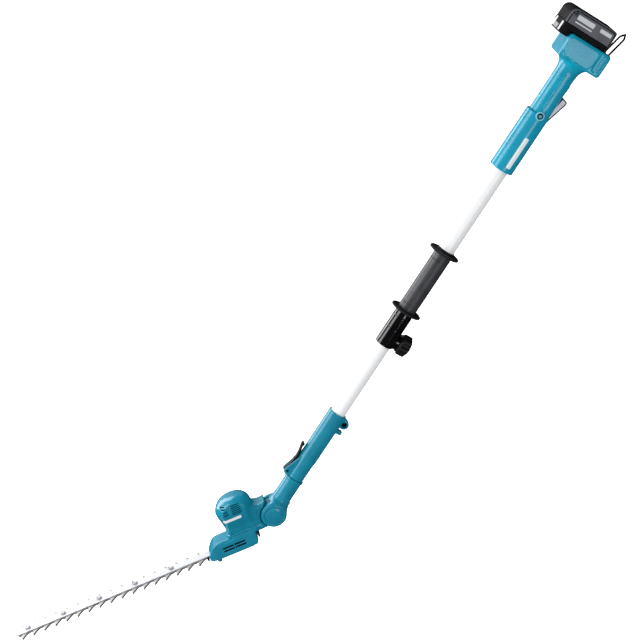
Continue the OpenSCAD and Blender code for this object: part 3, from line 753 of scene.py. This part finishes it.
def arm(g):
    """The arm between the motor housing and the tilting joint, cut round the fork's cheeks."""
    top = curve(g.x, [(-64, 46), (-44, 43.5), (-34, 39.4), (-25, 37.0), (-17, 37.2), (-10, 38.6),
                      (-4, 37.6), (4, 34)], 3)
    floor = np.where(g.x < -51.9, -11.8, -23.8)
    end = curve(g.z, [(-24, -15), (-10, -12), (20, -9.6), (28, -9.0), (34, -7.4), (40, -6.6)], 1.5)
    half = curve(g.x, [(-64, 23.8), (-30, 23.2), (-14, 21.4), (2, 19)], 3)
    made = smax(g.z - top, floor - g.z, 2)
    made = smax(made, np.maximum(g.x - end, -64 - g.x), 2)
    made = smax(made, g.side - half, 7)
    for x in (-17, -25, -33):
        finger = smax(rod(g.x - x, g.side - half + 2.6, 4.2), span(g.z, 20, top - 3.0), 4)
        made = smin(made, finger, 1.4)
    return cut(made, rod(g.x, g.z, ARM_GAP_R), 0.8)


def cooling_slots(g):
    made = None
    rows = [(-83 + 0.4 * i, -60.2, 42.2 + 4.3 * i) for i in range(6)]
    rows += [(-102, -90.2, 46.5 + 4.2 * i) for i in range(3)]
    rows += [(-103, -93.5, 61.5 + 4.2 * i) for i in range(2)]
    for x0, x1, z in rows:
        slit = smax(span(g.x, x0, x1), span(g.z, z, z + 2.0), 0.8)
        made = slit if made is None else np.minimum(made, slit)
    return smax(made, 14 - g.side, 0.1)


def head_shell(side, name, node):
    low, high = ((-122, -40, -26), (3, 0, 81)) if side < 0 else ((-122, 0, -26), (3, 40, 81))
    g = Grid(low, high, 0.58)
    outer = smin(dome(g), arm(g), 6)
    groove = span(g.z, -6.2, -4.6)
    outer = cut(outer, smax(groove, -outer - 0.9, 0.3), 0.4)
    shell = cut(outer, outer + WALL, 0.4)
    seat = block(g, (-49, -14, -11), (-22, 14, 33), 0.5)
    shell = smin(shell, smax(seat, outer + 0.6, 0.4), 0.6)
    shell = cut(shell, block(g, (-51, -12.1, -8.2), (-10, 12.1, 30.2), 0.2), 0.3)
    shell = cut(shell, cooling_slots(g), 0.5)
    if side > 0:
        for x, z in HEAD_SCREWS:
            hole = through(g, (x, z), SCREW_HEAD_R)
            shell = cut(shell, smax(hole, 14 - g.y, 0.2), 0.4)
            post = smax(through(g, (x, z), 4.8), outer + 0.8, 0.3)
            shell = smin(shell, cut(post, hole, 0.2), 0.4)
    half = -side * g.y + 0.05
    moulding(name, g, smax(shell, half, 0.7), HEAD, "head", "teal_housing", (node,))


head_shell(-1, "motor_housing_left", "head_shell_left")
head_shell(1, "motor_housing_right", "head_shell_right")


def case_outline(g, k=4.0):
    side = outline(g.x, g.z, [(-175, -62), (-68, -62), (-57.5, -50), (-53, -43), (-52, -37), (-52, -20),
                              (-54.5, -15), (-58, -12.1),
                              (-142, -12.1), (-153, -15.5), (-163.5, -25), (-172, -36),
                              (-175, -44)], k)
    above = outline(g.x, g.y, [(-175, -14), (-171, -20.5), (-161, -25.4), (-146, -27), (-56, -27),
                               (-52, -23), (-52, 23), (-56, 27), (-146, 27), (-161, 25.4),
                               (-171, 20.5), (-175, 14)], k)
    ends = outline(g.y, g.z, [(-27, -62), (27, -62), (27, -19.5), (21.5, -12.1), (-21.5, -12.1),
                              (-27, -19.5)], 3)
    return smax(smax(side, above, 2.4), ends, 1.6)


def gear_case():
    g = Grid((-176, -28, -47), (-51, 28, -11), 0.55)
    outer = case_outline(g)
    rise = smax(rod(g.x + 77.5, g.y, 37.5), span(g.z, -20, -12.05), 1.0)
    rise = smax(rise, g.side - 26.4, 2)
    outer = smin(outer, rise, 2.0)
    shell = cut(outer, smax(outer + 3.0, -47 - g.z, 0.2), 0.3)
    shell = smax(shell, -46.4 - g.z, 0.5)
    panel = outline(g.x, g.z, [(-170, -50), (-69, -50), (-66, -32), (-70, -23), (-148, -23),
                               (-163, -34)], 4)
    shell = cut(shell, smax(panel, 26.2 - g.side, 0.2), 0.5)
    for z in (-29.6, -37):
        slot = smax(span(g.x, -136, -82), span(g.z, z - 2.1, z + 2.1), 1.6)
        slot = smax(slot, 24.4 - g.side, 0.2)
        shell = cut(shell, slot, 0.5)
    rib = block(g, (-110.2, 23.8, -40), (-107.8, 26.1, -27), 0.5, both=True)
    shell = smin(shell, rib, 0.4)
    mouth = block(g, (-182, -14.5, -60), (-160, 14.5, -37.4), 0.4)
    shell = cut(shell, mouth, 0.5)
    shell = cut(shell, rod(g.x + 74, g.y, 7.0) + np.maximum(-20 - g.z, 0), 0.4)
    moulding("gear_housing", g, shell, HEAD, "head", "teal_case", ("gear_case",))


gear_case()


def case_cover():
    g = Grid((-176, -28, -53), (-51, 28, -45.5), 0.68)
    base = curve(g.x, [(-176, -51.0), (-168, -51.4), (-68, -51.4), (-66, -50.2),
                       (-58, -50.0), (-51, -47.5)], 0.8)
    made = smax(case_outline(g), base - g.z, 1.4)
    made = smax(made, g.z + 46.6, 0.5)
    groove = smax(rod(np.abs(g.x + 106) - 32, g.y, 3), g.z + 50.9, 0.3)
    made = cut(made, groove, 0.3)
    for x in (CASE_SCREWS_FRONT, CASE_SCREWS_REAR):
        for y in CASE_SCREWS_Y:
            made = cut(made, rod(g.x - x, g.y - y, 2.1), 0.2)
    made = cut(made, smax(rod(g.x - CRANK_X, g.y, 8.1), -50 - g.z, 0.1), 0.2)
    moulding("case_bottom_cover", g, made, HEAD, "head", "teal_metal", ("case_cover",))


case_cover()

BOSS = [(0, -58.4), (2.4, -58.4), (2.7, -57.0), (3.4, -57.0), (3.6, -58.4), (4.6, -58.0),
        (5.3, -57.2), (5.4, -50.3), (2, -50.3), (2, -24.4), (0, -24.4)]
LOW_HEAD = [(0, -50.2), (1.2, -50.2), (1.4, -49.4), (1.8, -49.4), (2.0, -50.4), (2.9, -50.2),
            (3.1, -49.6), (3.1, -48.6), (2, -48.2), (2, -24.4), (0, -24.4)]
front_bolts = [turned(BOSS, "z", (CASE_SCREWS_FRONT, y, 0), 32) for y in CASE_SCREWS_Y]
rear_bolts = [turned(LOW_HEAD, "z", (CASE_SCREWS_REAR, y, 0), 32) for y in CASE_SCREWS_Y]
gathered("cover_screws", front_bolts + rear_bolts, HEAD, "head", "teal_metal", ("cover_bolts",))


def small_pads():
    g = Grid((-181, -18, -50), (-172, 18, -34), 0.5)
    lip = outline(g.x, g.y, [(-174.9, -17), (-174.9, 17), (-178, 16.4), (-179.8, 14),
                             (-179.8, -14), (-178, -16.4)], 2)
    lip = smax(lip, span(g.z, -49.4, -38.5), 1.2)
    lip = cut(lip, block(g, (-184, -14.5, -46.3), (-170, 14.5, -37.4), 0.8), 0.6)
    moulding("nose_lip", g, lip, HEAD, "head", "black_plastic", ("nose_seal",))
    g = Grid((-53, -21, -41), (-46.5, 21, -24.5), 0.5)
    pad = block(g, (-56, -20, -40), (-47.6, 20, -25.5), 3)
    pad = smax(pad, -51.9 - g.x, 0.2)
    for z in (-35.5, -30):
        pad = cut(pad, smax(span(g.z, z - 0.8, z + 0.8), -49 - g.x, 0.3), 0.5)
    moulding("rear_bumper", g, pad, HEAD, "head", "dark_plastic", ("rear_buffer",))


small_pads()


# ---------------------------------------------------------------- neck and casing, in POLE

DISC_R, DISC_HALF = 29.5, 28         # round cheeks of the fork and half the width over them
LEVER_PIN = (103, 27)
LUG = (257.5, -26)                   # clamp bolt at the casing's mouth


def neck():
    g = Grid((-30.5, -29, -30.5), (94, 29, 30.5), 0.6)
    disc = smax(rod(g.x, g.z, DISC_R), g.side - DISC_HALF, 5)
    half = curve(g.x, [(0, 26.5), (12, 25.6), (26, 22.4), (46, 20.8), (100, 20.8)], 4)
    body = smax(rod(g.y, g.z, half), -2 - g.x, 3)
    shoulder = block(g, (-4, -26.5, -22.5), (32, 26.5, 22.5), 12)
    body = smin(body, shoulder, 6)
    body = smax(body, g.x - 92.9, 0.8)
    made = smin(disc, body, 4)
    bead = smax(rod(g.y, g.z, 22.4), span(g.x, 87.2, 93.0), 1.6)
    made = smin(made, bead, 0.6)
    slot = smax(rod(g.x, g.z, 31.8), g.side - 16, 0.8)
    made = cut(made, slot, 0.7)
    made = cut(made, rod(g.x, g.z, 6.1), 0.4)
    made = cut(made, smax(rod(g.x, g.z, 13.2), 24.7 - g.side, 0.3), 0.4)
    made = cut(made, smax(rod(g.y, g.z, 6.25), 18 - g.x, 0.3), 0.3)
    bolt_well = smax(rod(g.x - 34, g.y + 6, 4.6), 19.4 + g.z, 0.2)
    made = cut(made, bolt_well, 0.5)
    moulding("fork_and_neck", g, made, POLE, "extension", "teal_metal", ("neck_fork",))
    bolt = [(0, -21.8), (3.2, -21.8), (4.1, -21.0), (4.1, -18.6), (0, -18.6)]
    gathered("neck_screw", [turned(bolt, "z", (34, -6, 0), 32)], POLE, "extension",
             "black_steel", ())


neck()

DISH = [(0, 0.1), (25.9, 0.1), (25.9, 1.0), (25.3, 1.9), (24.2, 2.4), (22.2, 2.6), (21.2, 2.3),
        (20.7, 1.5), (20.0, 1.2), (19.2, 1.5), (18.0, 2.3), (12, 3.1), (6, 3.45), (0, 3.5)]
for word, s in (("left", -1), ("right", 1)):
    profile = [(1.05 * r, s * (DISC_HALF + a)) for r, a in DISH]
    lathe("joint_cover_" + word, [profile], "y", "extension", "teal_metal",
          ("pivot_cap_" + word,), 128)


def casing():
    g = Grid((93, -23, -38.5), (277, 23, 36), 0.65)
    radius = curve(g.x, [(92, 19.8), (136, 19.8), (147, 21.2), (280, 21.2)], 3)
    made = smax(rod(g.y, g.z, radius), span(g.x, 93.5, 275.4), 1.4)
    lug = smax(through(g, LUG, 11), g.side - 9, 1.6)
    root = outline(g.x, g.z, [(246.8, -26), (268, -29), (271.5, -19), (271.5, -10), (247, -10)], 3)
    root = smax(root, g.side - 8.6, 1.6)
    made = smin(made, smin(lug, root, 2), 2.5)
    stop = block(g, (230.5, -7, -33.3), (240.5, 7, -12), 3)
    made = smin(made, stop, 2.5)
    cheek = outline(g.x, g.z, [(93.7, 13), (149, 13), (149, 18.6), (107.6, 33.2), (102, 34.7),
                               (97, 33), (94.2, 29)], 2)
    cheek = smax(cheek, np.maximum(7.4 - g.side, g.side - 12), 1.2)
    made = smin(made, cheek, 1.2)
    made = cut(made, smax(rod(g.y, g.z, 17.32), 215 - g.x, 0.2), 0.5)
    made = cut(made, rod(g.y, g.z, 15.6), 0.4)
    made = cut(made, block(g, (220, -0.9, -45), (280, 0.9, -10), 0.2), 0.3)
    made = cut(made, through(g, LUG, 3.05), 0.3)
    made = cut(made, smax(through(g, LUG, 6.2), 5.0 - g.side, 0.2), 0.5)
    made = cut(made, smax(rod(g.x - 235.5, g.z + 27, 2.4), 5.6 - g.side, 0.2), 0.4)
    made = cut(made, through(g, LEVER_PIN, 2.55), 0.3)
    made = cut(made, block(g, (95, -7.4, 4), (113, 7.4, 50), 0.4), 0.4)
    moulding("lower_casing", g, made, POLE, "extension", "teal_metal", ("pipe_socket",), adapt=0.04)


casing()


def lever():
    g = Grid((97, -7.5, 3), (179, 7.5, 35), 0.5)
    middle = curve(g.x, [(98, 26.6), (112, 27.2), (126, 25.8), (140, 24.6), (152, 25.4), (164, 27.8),
                         (176, 28.8)], 5)
    thick = curve(g.x, [(98, 5.0), (112, 3.9), (130, 3.1), (176, 2.5)], 4)
    bar = smax(np.abs(g.z - middle) - thick, span(g.x, 103, 173), 1.0)
    bar = smax(bar, g.side - 5.9, 2.0)
    hub = smax(through(g, LEVER_PIN, 5.2), g.side - 6.9, 1.0)
    loop = smax(rod(g.x - 173.4, g.z - 28.6, 3.9), g.side - 5.9, 1.6)
    finger = block(g, (100.2, -5.9, 4.8), (105.8, 5.9, 26), 1.2)
    made = smin(smin(bar, hub, 2), smin(loop, finger, 1), 1.4)
    made = cut(made, through(g, LEVER_PIN, 2.58), 0.3)
    made = cut(made, rod(g.x - 173.6, g.z - 28.6, 1.6), 0.4)
    groove = rod(g.x - 150, np.maximum(g.side - 2.2, 0), 0.0) - 14
    groove = smax(groove, span(g.z - middle, 2.0, 9), 0.5)
    made = cut(made, groove, 0.6)
    moulding("tilt_lever", g, made, POLE, "angle_lever", "black_plastic", ("angle_lever",))


lever()


# ---------------------------------------------------------------- pipes, grip and clamp, in POLE

def tube(name, node, x0, x1, outer, inner):
    c = 0.4
    ring = [(inner, x0 + c), (inner + c, x0), (outer - c, x0), (outer, x0 + c), (outer, x1 - c),
            (outer - c, x1), (inner + c, x1), (inner, x1 - c)]
    body = "extension" if node == "inner_pipe" else "handle_unit"
    lathe(name, [ring], "x", body, "pole_aluminium", (node,), 160)


tube("upper_tube", "outer_pipe", 494, 1030, 18.7, 17.6)
tube("lower_tube", "inner_pipe", 215, 1022, 17.3, 16.0)

GRIP_BORE = 18.72                    # over the upper tube
SLEEVE = [(GRIP_BORE, 556.3), (21.0, 556.3), (21.4, 557.2), (21.2, 561), (21.2, 570.6), (20.5, 571.4),
          (20.5, 572.6), (21.2, 573.4), (21.2, 685.6), (20.5, 686.4), (20.5, 687.6), (21.2, 688.4),
          (21.2, 698), (21.4, 702), (21.0, 702.9), (GRIP_BORE, 702.9)]
lathe("front_grip_sleeve", [SLEEVE], "x", "handle_unit", "grip_rubber", ("front_grip",), 128)


def flange_profile(x):
    rim = [(r + 33.2, x + a) for a, r in arc((0, 0), 2.7, 180, 0, 10)]
    return [(GRIP_BORE, x - 2.9), (30.2, x - 2.9), (31.6, x - 2.5)] + rim + [
        (31.6, x + 2.5), (30.2, x + 2.9), (GRIP_BORE, x + 2.9)]


FRONT, REAR = 553.2, 706
lathe("front_flange", [flange_profile(FRONT)], "x", "handle_unit", "flange_rubber",
      ("grip_flange_front",), 144)
HUB = [(GRIP_BORE, 708.9), (20.6, 708.9), (20.8, 709.6), (20.8, 713.4), (20.2, 714.2),
       (GRIP_BORE, 714.4)]
lathe("rear_flange", [flange_profile(REAR), HUB], "x", "handle_unit", "flange_rubber",
      ("grip_flange_rear",), 144)


KNOB_X = 481


def collar():
    g = Grid((461, -22, -29.5), (551, 22, 22), 0.7)
    radius = curve(g.x, [(460, 20.2), (463, 21.0), (466, 21.2), (540, 21.2), (544, 20.5), (552, 20.3)], 1)
    made = smax(rod(g.y, g.z, radius), span(g.x, 462.1, 549.9), 1.2)
    boss = smax(rod(g.x - KNOB_X, g.y, 15.0), span(g.z, -26.0, -10), 1.0)
    web = block(g, (462.5, -3.5, -25.6), (500, 3.5, -14), 1.0)
    made = smin(made, smin(boss, web, 1.5), 2.0)
    for x in (506, 536):
        ring = smax(span(g.x, x - 0.6, x + 0.6), radius - 0.7 - np.sqrt(g.y ** 2 + g.z ** 2), 0.2)
        made = cut(made, ring, 0.3)
    made = cut(made, rod(g.y, g.z, 18.71) + np.maximum(494 - g.x, 0), 0.2)
    made = cut(made, rod(g.y, g.z, 17.7), 0.2)
    made = cut(made, smax(rod(g.y, g.z, 19.42), span(g.x, 463, 471), 0.1), 0.2)
    made = cut(made, smax(rod(g.x - KNOB_X, g.y, 4.1), g.z + 16, 0.1), 0.3)
    moulding("clamp_sleeve", g, made, POLE, "handle_unit", "black_gloss", ("clamp_collar",), adapt=0.0)


collar()


def knob():
    g = Grid((455, -26, -53.5), (507, 26, -25.5), 0.55)
    x = g.x - KNOB_X
    made = smax(rod(x, g.y, 19.6), span(g.z, -52.4, -26.5), 3)
    made = smax(made, rod(x, g.y, 18.6) + (g.z + 29.5) * 0.9, 2)
    for i in range(7):
        a = 2 * math.pi * i / 7
        lobe = smax(rod(x - 18.8 * math.cos(a), g.y - 18.8 * math.sin(a), 6.0),
                    span(g.z, -50.1, -30), 3)
        made = smin(made, lobe, 3)
    dish = np.sqrt(x ** 2 + g.y ** 2 + (g.z + 72) ** 2) - 22.4
    made = cut(made, dish, 1.0)
    made = cut(made, smax(rod(x, g.y, 4.05), -43.5 - g.z, 0.1), 0.3)
    moulding("clamp_handwheel", g, made, POLE, "clamp_knob", "black_plastic", ("clamp_knob",))


knob()


# ---------------------------------------------------------------- handle and battery, in POLE

TRIGGER_PIN = (1056, -16)
HANDLE_SCREWS = ((1044, 12), (1044, -12), (1137, -1), (1174, -2), (1219, -46), (1219, 34))
# trigger's mouth, battery rails, contacts and the hook's pocket: corners, rounding, edge
HANDLE_OPENINGS = (((1045, -8.5, -60), (1126.5, 8.5, -10), 1.0, 0.6),
                   ((1247.2, -18.6, -37.5), (1262, 18.6, 60), 0.4, 0.4),
                   ((1243.0, -22.6, -37.5), (1247.5, 22.6, 60), 0.3, 0.3),
                   ((1230, -15.9, -33.9), (1243.3, 15.9, -10.1), 0.3, 0.3),
                   ((1238.3, -24, -66), (1262, 24, -43.5), 0.4, 0.5))


def handle_outside(g):
    barrel = smax(rod(g.y, g.z + 0.75, 27.1), span(g.x, 925.2, 1069.5), 3.4)
    lip = smax(rod(g.y, g.z + 0.75, 22.4), span(g.x, 925.05, 930), 0.6)
    barrel = smin(barrel, lip, 0.8)
    radius = curve(g.x, [(1060, 23.7), (1166, 23.8), (1176, 24.7), (1184, 26.8), (1190, 30),
                         (1195, 35), (1200, 40)], 4)
    flare = smax(rod(g.y, g.z + 2.6, radius), span(g.x, 1055, 1200), 2)
    holder = smax(span(g.x, 1196.2, 1249.9), span(g.z, -57.8, 46.8), 8)
    holder = smax(holder, g.side - 38.2, 7)
    made = smin(smin(barrel, flare, 1.0), holder, 5)
    facet = outline(g.x, g.z, [(1203, -24), (1212, -31), (1240, -31), (1245.5, -26), (1245.5, 38),
                               (1240, 45), (1213, 45), (1203, 34)], 1.2)
    facet = smax(facet, g.side - 39.1, 1.8)
    made = smin(made, facet, 0.4)
    recess = block(g, (1204, 37.2, -41), (1252, 60, -33.5), 1.2, both=True)
    made = cut(made, recess, 0.8)
    for z in (-47, -52.5):
        ridge = block(g, (1204, 30, z - 1.3), (1246, 39.1, z + 1.3), 1.2, both=True)
        made = smin(made, ridge, 0.6)
    for z in (2.8, -6.6):
        line = smax(rod(g.z - z, g.side - 23.2, 1.15), span(g.x, 1084, 1181), 1.0)
        made = smin(made, line, 0.8)
    for x in (1139, 1147):
        bump = np.sqrt((g.x - x) ** 2 + (0.55 * g.y) ** 2 + (g.z + 24.6) ** 2) - 3.6
        made = smin(made, bump, 3.0)
    boss = smax(through(g, (LOCK_X, 0), 9.4), g.side - 27.7, 1.0)
    made = smin(made, boss, 1.0)
    dip = smax(through(g, (LOCK_X, 0), 7.7), 26.9 - g.side, 0.5)
    return cut(made, dip, 0.4)


def handle_shell(side, name, node):
    low, high = ((923, -41, -59), (1252, 0, 48)) if side < 0 else ((923, 0, -59), (1252, 41, 48))
    g = Grid(low, high, 0.95)
    outer = handle_outside(g)
    shell = cut(outer, outer + 2.8, 0.4)
    back = block(g, (1240.4, -26, -42.6), (1249.9, 26, 46.4), 0.4)
    shell = smin(shell, smax(back, outer, 0.2), 0.5)
    cheeks = block(g, (1050, -10.6, -30), (1124, 10.6, -14), 0.5)
    shell = smin(shell, smax(cheeks, outer + 0.2, 0.3), 0.5)
    boss = smax(through(g, (LOCK_X, 0), 8.2), np.maximum(18 - g.side, outer + 0.3), 0.3)
    shell = smin(shell, boss, 0.4)
    shell = cut(shell, smax(rod(g.y, g.z, 18.75), g.x - 990, 0.1), 0.4)
    shell = cut(shell, through(g, (LOCK_X, 0), 5.75), 0.4)
    for low, high, k, edge in HANDLE_OPENINGS:
        shell = cut(shell, block(g, low, high, k), edge)
    if side > 0:
        for x, z in HANDLE_SCREWS:
            hole = through(g, (x, z), SCREW_HEAD_R)
            post = cut(smax(through(g, (x, z), 5.0), outer + 0.4, 0.3), hole, 0.2)
            shell = smin(shell, smax(post, 12 - g.y, 0.2), 0.4)
            shell = cut(shell, smax(hole, 15 - g.y, 0.2), 0.5)
    half = -side * g.y + 0.05
    moulding(name, g, smax(shell, half, 0.7), POLE, "handle_unit", "teal_handle", (node,), adapt=0.0)


handle_shell(-1, "handle_half_left", "handle_shell_left")
handle_shell(1, "handle_half_right", "handle_shell_right")


def trigger():
    g = Grid((1049, -9, -43), (1124, 9, -9), 0.5)
    form = outline(g.x, g.z, [(1050.5, -22.6), (1056, -25.8), (1113, -41.6), (1117.6, -41.3),
                              (1120, -38.8), (1122.8, -29.5), (1121, -26), (1070, -17.3),
                              (1052, -14.3)], 1.6)
    made = smax(form, g.side - 7.9, 1.4)
    made = smin(made, smax(through(g, TRIGGER_PIN, 5.2), g.side - 7.9, 0.6), 1)
    made = cut(made, smax(form + 2.8, 6.9 - g.side, 0.4), 0.4)
    made = cut(made, through(g, TRIGGER_PIN, 2.06), 0.3)
    moulding("switch_lever", g, made, POLE, "trigger", "trigger_plastic", ("trigger",))


trigger()

PIN = [(0, -28.5), (2.8, -28.4), (4.4, -27.9), (5.3, -27.0), (5.6, -26.0), (5.6, -19), (4.5, -19),
       (4.5, 14), (5.6, 14), (5.6, 22.2), (5.0, 22.9), (0, 22.95)]
lathe("lock_button", [PIN], "y", "lock_off_button", "button_plastic", ("lock_off_button",), 64,
      (LOCK_X, 0, 0))


def battery():
    g = Grid((1262, -38.5, -40), (1300, 38.5, 75), 0.8)
    side = smax(span(g.x, 1255, 1298.9), span(g.z, -39.2, 73.6), 7)
    corner = smax(rod(g.x - 1282.9, g.z - 57.6, 16.0), -np.minimum(g.x - 1282.9, g.z - 57.6), 0.2)
    beyond = smax(1282.9 - g.x, 57.6 - g.z, 0.3)
    side = np.where(beyond < 0, corner, side)
    made = smax(side, g.side - 37.4, 5)
    made = smax(made, 1263.7 - g.x, 0.8)
    rim = smax(side + 5.0, 36.9 - g.side, 0.5)
    made = cut(made, rim, 0.6)
    for z in (-20, 0, 20, 40):
        groove = smax(span(g.z, z - 1.2, z + 1.2), 1298.0 - g.x, 0.3)
        made = cut(made, smax(groove, g.side - 24, 0.5), 0.5)
    inner = block(g, (1255, -34.8, -36.6), (1296.4, 34.8, 71), 0.5)
    inner = smax(inner, (g.x - 1296.4) * 0.73 + (g.z - 63) * 0.68, 0.3)
    made = cut(made, inner, 0.4)
    moulding("battery_cover", g, made, POLE, "battery", "battery_plastic", ("battery_case",))
    g = Grid((1235.5, -38.5, -40), (1264.5, 38.5, 75), 0.8)
    tray = block(g, (1253.1, -37.3, -39.2), (1263.6, 37.3, 73.6), 2.6)
    head = block(g, (1236.6, -33, 49.2), (1254.6, 33, 73.6), 3.0)
    made = smin(tray, head, 1.6)
    made = smax(made, g.x - 1263.5, 0.3)
    for z in (52.8, 56.6, 60.4):
        notch = smax(span(g.z, z - 0.9, z + 0.9), 32.0 - g.side, 0.3)
        made = cut(made, smax(notch, span(g.x, 1239, 1252), 0.5), 0.5)
    line = smax(span(g.x, 1257.2, 1258.4), 36.6 - g.side, 0.2)
    made = cut(made, line, 0.4)
    made = cut(made, block(g, (1255.7, -34.8, -36.6), (1268, 34.8, 71), 0.5), 0.4)
    made = cut(made, block(g, (1239.6, -12.4, 64), (1251.4, 12.4, 90), 1.2), 0.6)
    moulding("battery_tray", g, made, POLE, "battery", "battery_black", ("battery_base",))
    g = Grid((1239, -12.8, 68), (1252, 12.8, 77.4), 0.4)
    made = block(g, (1240, -11.9, 68.7), (1251, 11.9, 76.5), 2.2)
    for x in (1243.2, 1245.5, 1247.8):
        made = cut(made, smax(span(g.x, x - 0.6, x + 0.6), 75.7 - g.z, 0.2), 0.4)
    moulding("battery_latch", g, made, POLE, "battery_button", "latch_plastic", ("battery_button",))


battery()

LEG = ((1244.5, -21.6, -54), (1244.5, -18, -54), (1244.5, -15.5, -54), (1245.2, -15.5, -54.2),
       (1268, -15.5, -59.0), (1291.5, -15.5, -64.0), (1294, -14.6, -64.5), (1302, -1.4, -66.2))
HOOK = list(LEG) + [(1302.6, 0, -66.4)] + [(x, -y, z) for x, y, z in reversed(LEG)]
bent_rod("wire_hook", HOOK, 2.2, POLE, "hanging_hook", "black_steel", ("hanging_hook",))


# ---------------------------------------------------------------- blades and bar, in HEAD

BOLTS_X = (-266, -354, -442, -530, -617)
PITCH, FIRST, TEETH = 27, 199.5, 17
BAR_RIM = [(-651.4, -6), (-649, -9.5), (-644, -12), (-130, -12), (-126, -19.8), (-77, -19.8),
           (-72, -21.8), (-57.1, -21.8), (-57.1, -13), (-72, -13), (-72, 13), (-57.1, 13),
           (-57.1, 21.8), (-72, 21.8), (-77, 19.8), (-126, 19.8), (-130, 12), (-644, 12),
           (-649, 9.5), (-651.4, 6)]
bar_holes = [circle((x, 0), 4.05, 24) for x in BOLTS_X + (-142,)] + [circle((CRANK_X, 0), 8.5, 40)]
bar_holes += [circle((CASE_SCREWS_REAR, y), 2, 16) for y in CASE_SCREWS_Y]
bar = plate(BAR_RIM, bar_holes, -40.45, -37.5, 0.45)
gathered("guide_rail", [bar], HEAD, "head", "bar_steel", ("guide_bar",))


def tooth_row(side):
    row = []
    for i in range(TEETH):
        start = -FIRST - i * PITCH
        for along, out in ((14.3, 10.6), (13.4, 12.8), (11.0, 15.2), (8.6, 18), (5.0, 23.4),
                           (2.2, 28.8), (1.2, 29.7), (0.2, 29.95), (-1.1, 29.6), (-1.8, 28.4),
                           (-1.6, 20), (-1.25, 12.2), (-1.9, 10.6)):
            row.append((start + along, side * out))
    return row


def blade(name, node, low, high):
    rim = [(-84.7, -18.3), (-84.7, 18.3), (-88.6, 22.2), (-115.4, 22.2), (-119.3, 18.3),
           (-119.3, 10.6)]
    rim += tooth_row(1) + [(-640, 10.6), (-643, 7), (-643, -7), (-640, -10.6)]
    rim += tooth_row(-1)[::-1] + [(-119.3, -10.6), (-119.3, -18.3), (-115.4, -22.2), (-88.6, -22.2)]
    holes = [rounded((x - 11.4, -4.35), (x + 11.4, 4.35), 4.3) for x in BOLTS_X + (-142,)]
    holes.append(rounded((-114.8, -18.3), (-89.2, 18.3), 3))
    made = plate(rim, holes, low, high, 0.4)
    gathered(name, [made], HEAD, node, "blade_steel", (node,))


blade("blade_upper", "upper_blade", -43.2, -40.8)
blade("blade_lower", "lower_blade", -46.0, -43.5)

WASHER = [(4.02, -37.5), (8.2, -37.5), (8.5, -37.2), (8.5, -36.8), (8.1, -36.5), (4.02, -36.5)]
STUD = [(0, -48.3), (7.6, -48.3), (8.6, -47.8), (8.9, -47.0), (8.9, -46.3), (4, -46.3),
        (4, -34.6), (3.4, -34.1), (0, -34.1)]
nuts, studs = [], []
for x in BOLTS_X:
    hexagon = [(x + 6.7 * math.cos(math.radians(12 + 60 * i)),
                6.7 * math.sin(math.radians(12 + 60 * i))) for i in range(6)]
    nuts.append(plate(hexagon, [circle((x, 0), 4.02, 24)], -36.5, -32.6, 0.5))
    nuts.append(turned(WASHER, "z", (x, 0, 0), 48))
    studs.append(turned(STUD, "z", (x, 0, 0), 48))
studs.append(turned([(0, -46.4), (4, -46.4), (4, -24.2), (0, -24.2)], "z", (-142, 0, 0), 32))
gathered("rail_nuts", nuts, HEAD, "head", "bright_steel", ("bar_nuts",))
gathered("rail_studs", studs, HEAD, "head", "bright_steel", ("bar_bolts",))


# ---------------------------------------------------------------- carried-over CAD nodes

NODE_LOOKS = {"lever_pin": "black_steel", "tilt_knuckle": "teal_metal", "motor_can": "black_steel"}


def dress_cad_nodes():
    """Every CAD node gets the node-based material of its slot, or the one named for it."""
    slots = {m["slot"] for m in frame["record"]["materials"]}
    for name, node in frame["nodes"].items():
        slot = node.data.materials[0].name.split(".")[0] if node.data.materials else ""
        look = NODE_LOOKS.get(name, slot if slot in slots else "dark_plastic")
        for i in range(len(node.data.materials)):
            node.data.materials[i] = MATERIALS[look]


dress_cad_nodes()
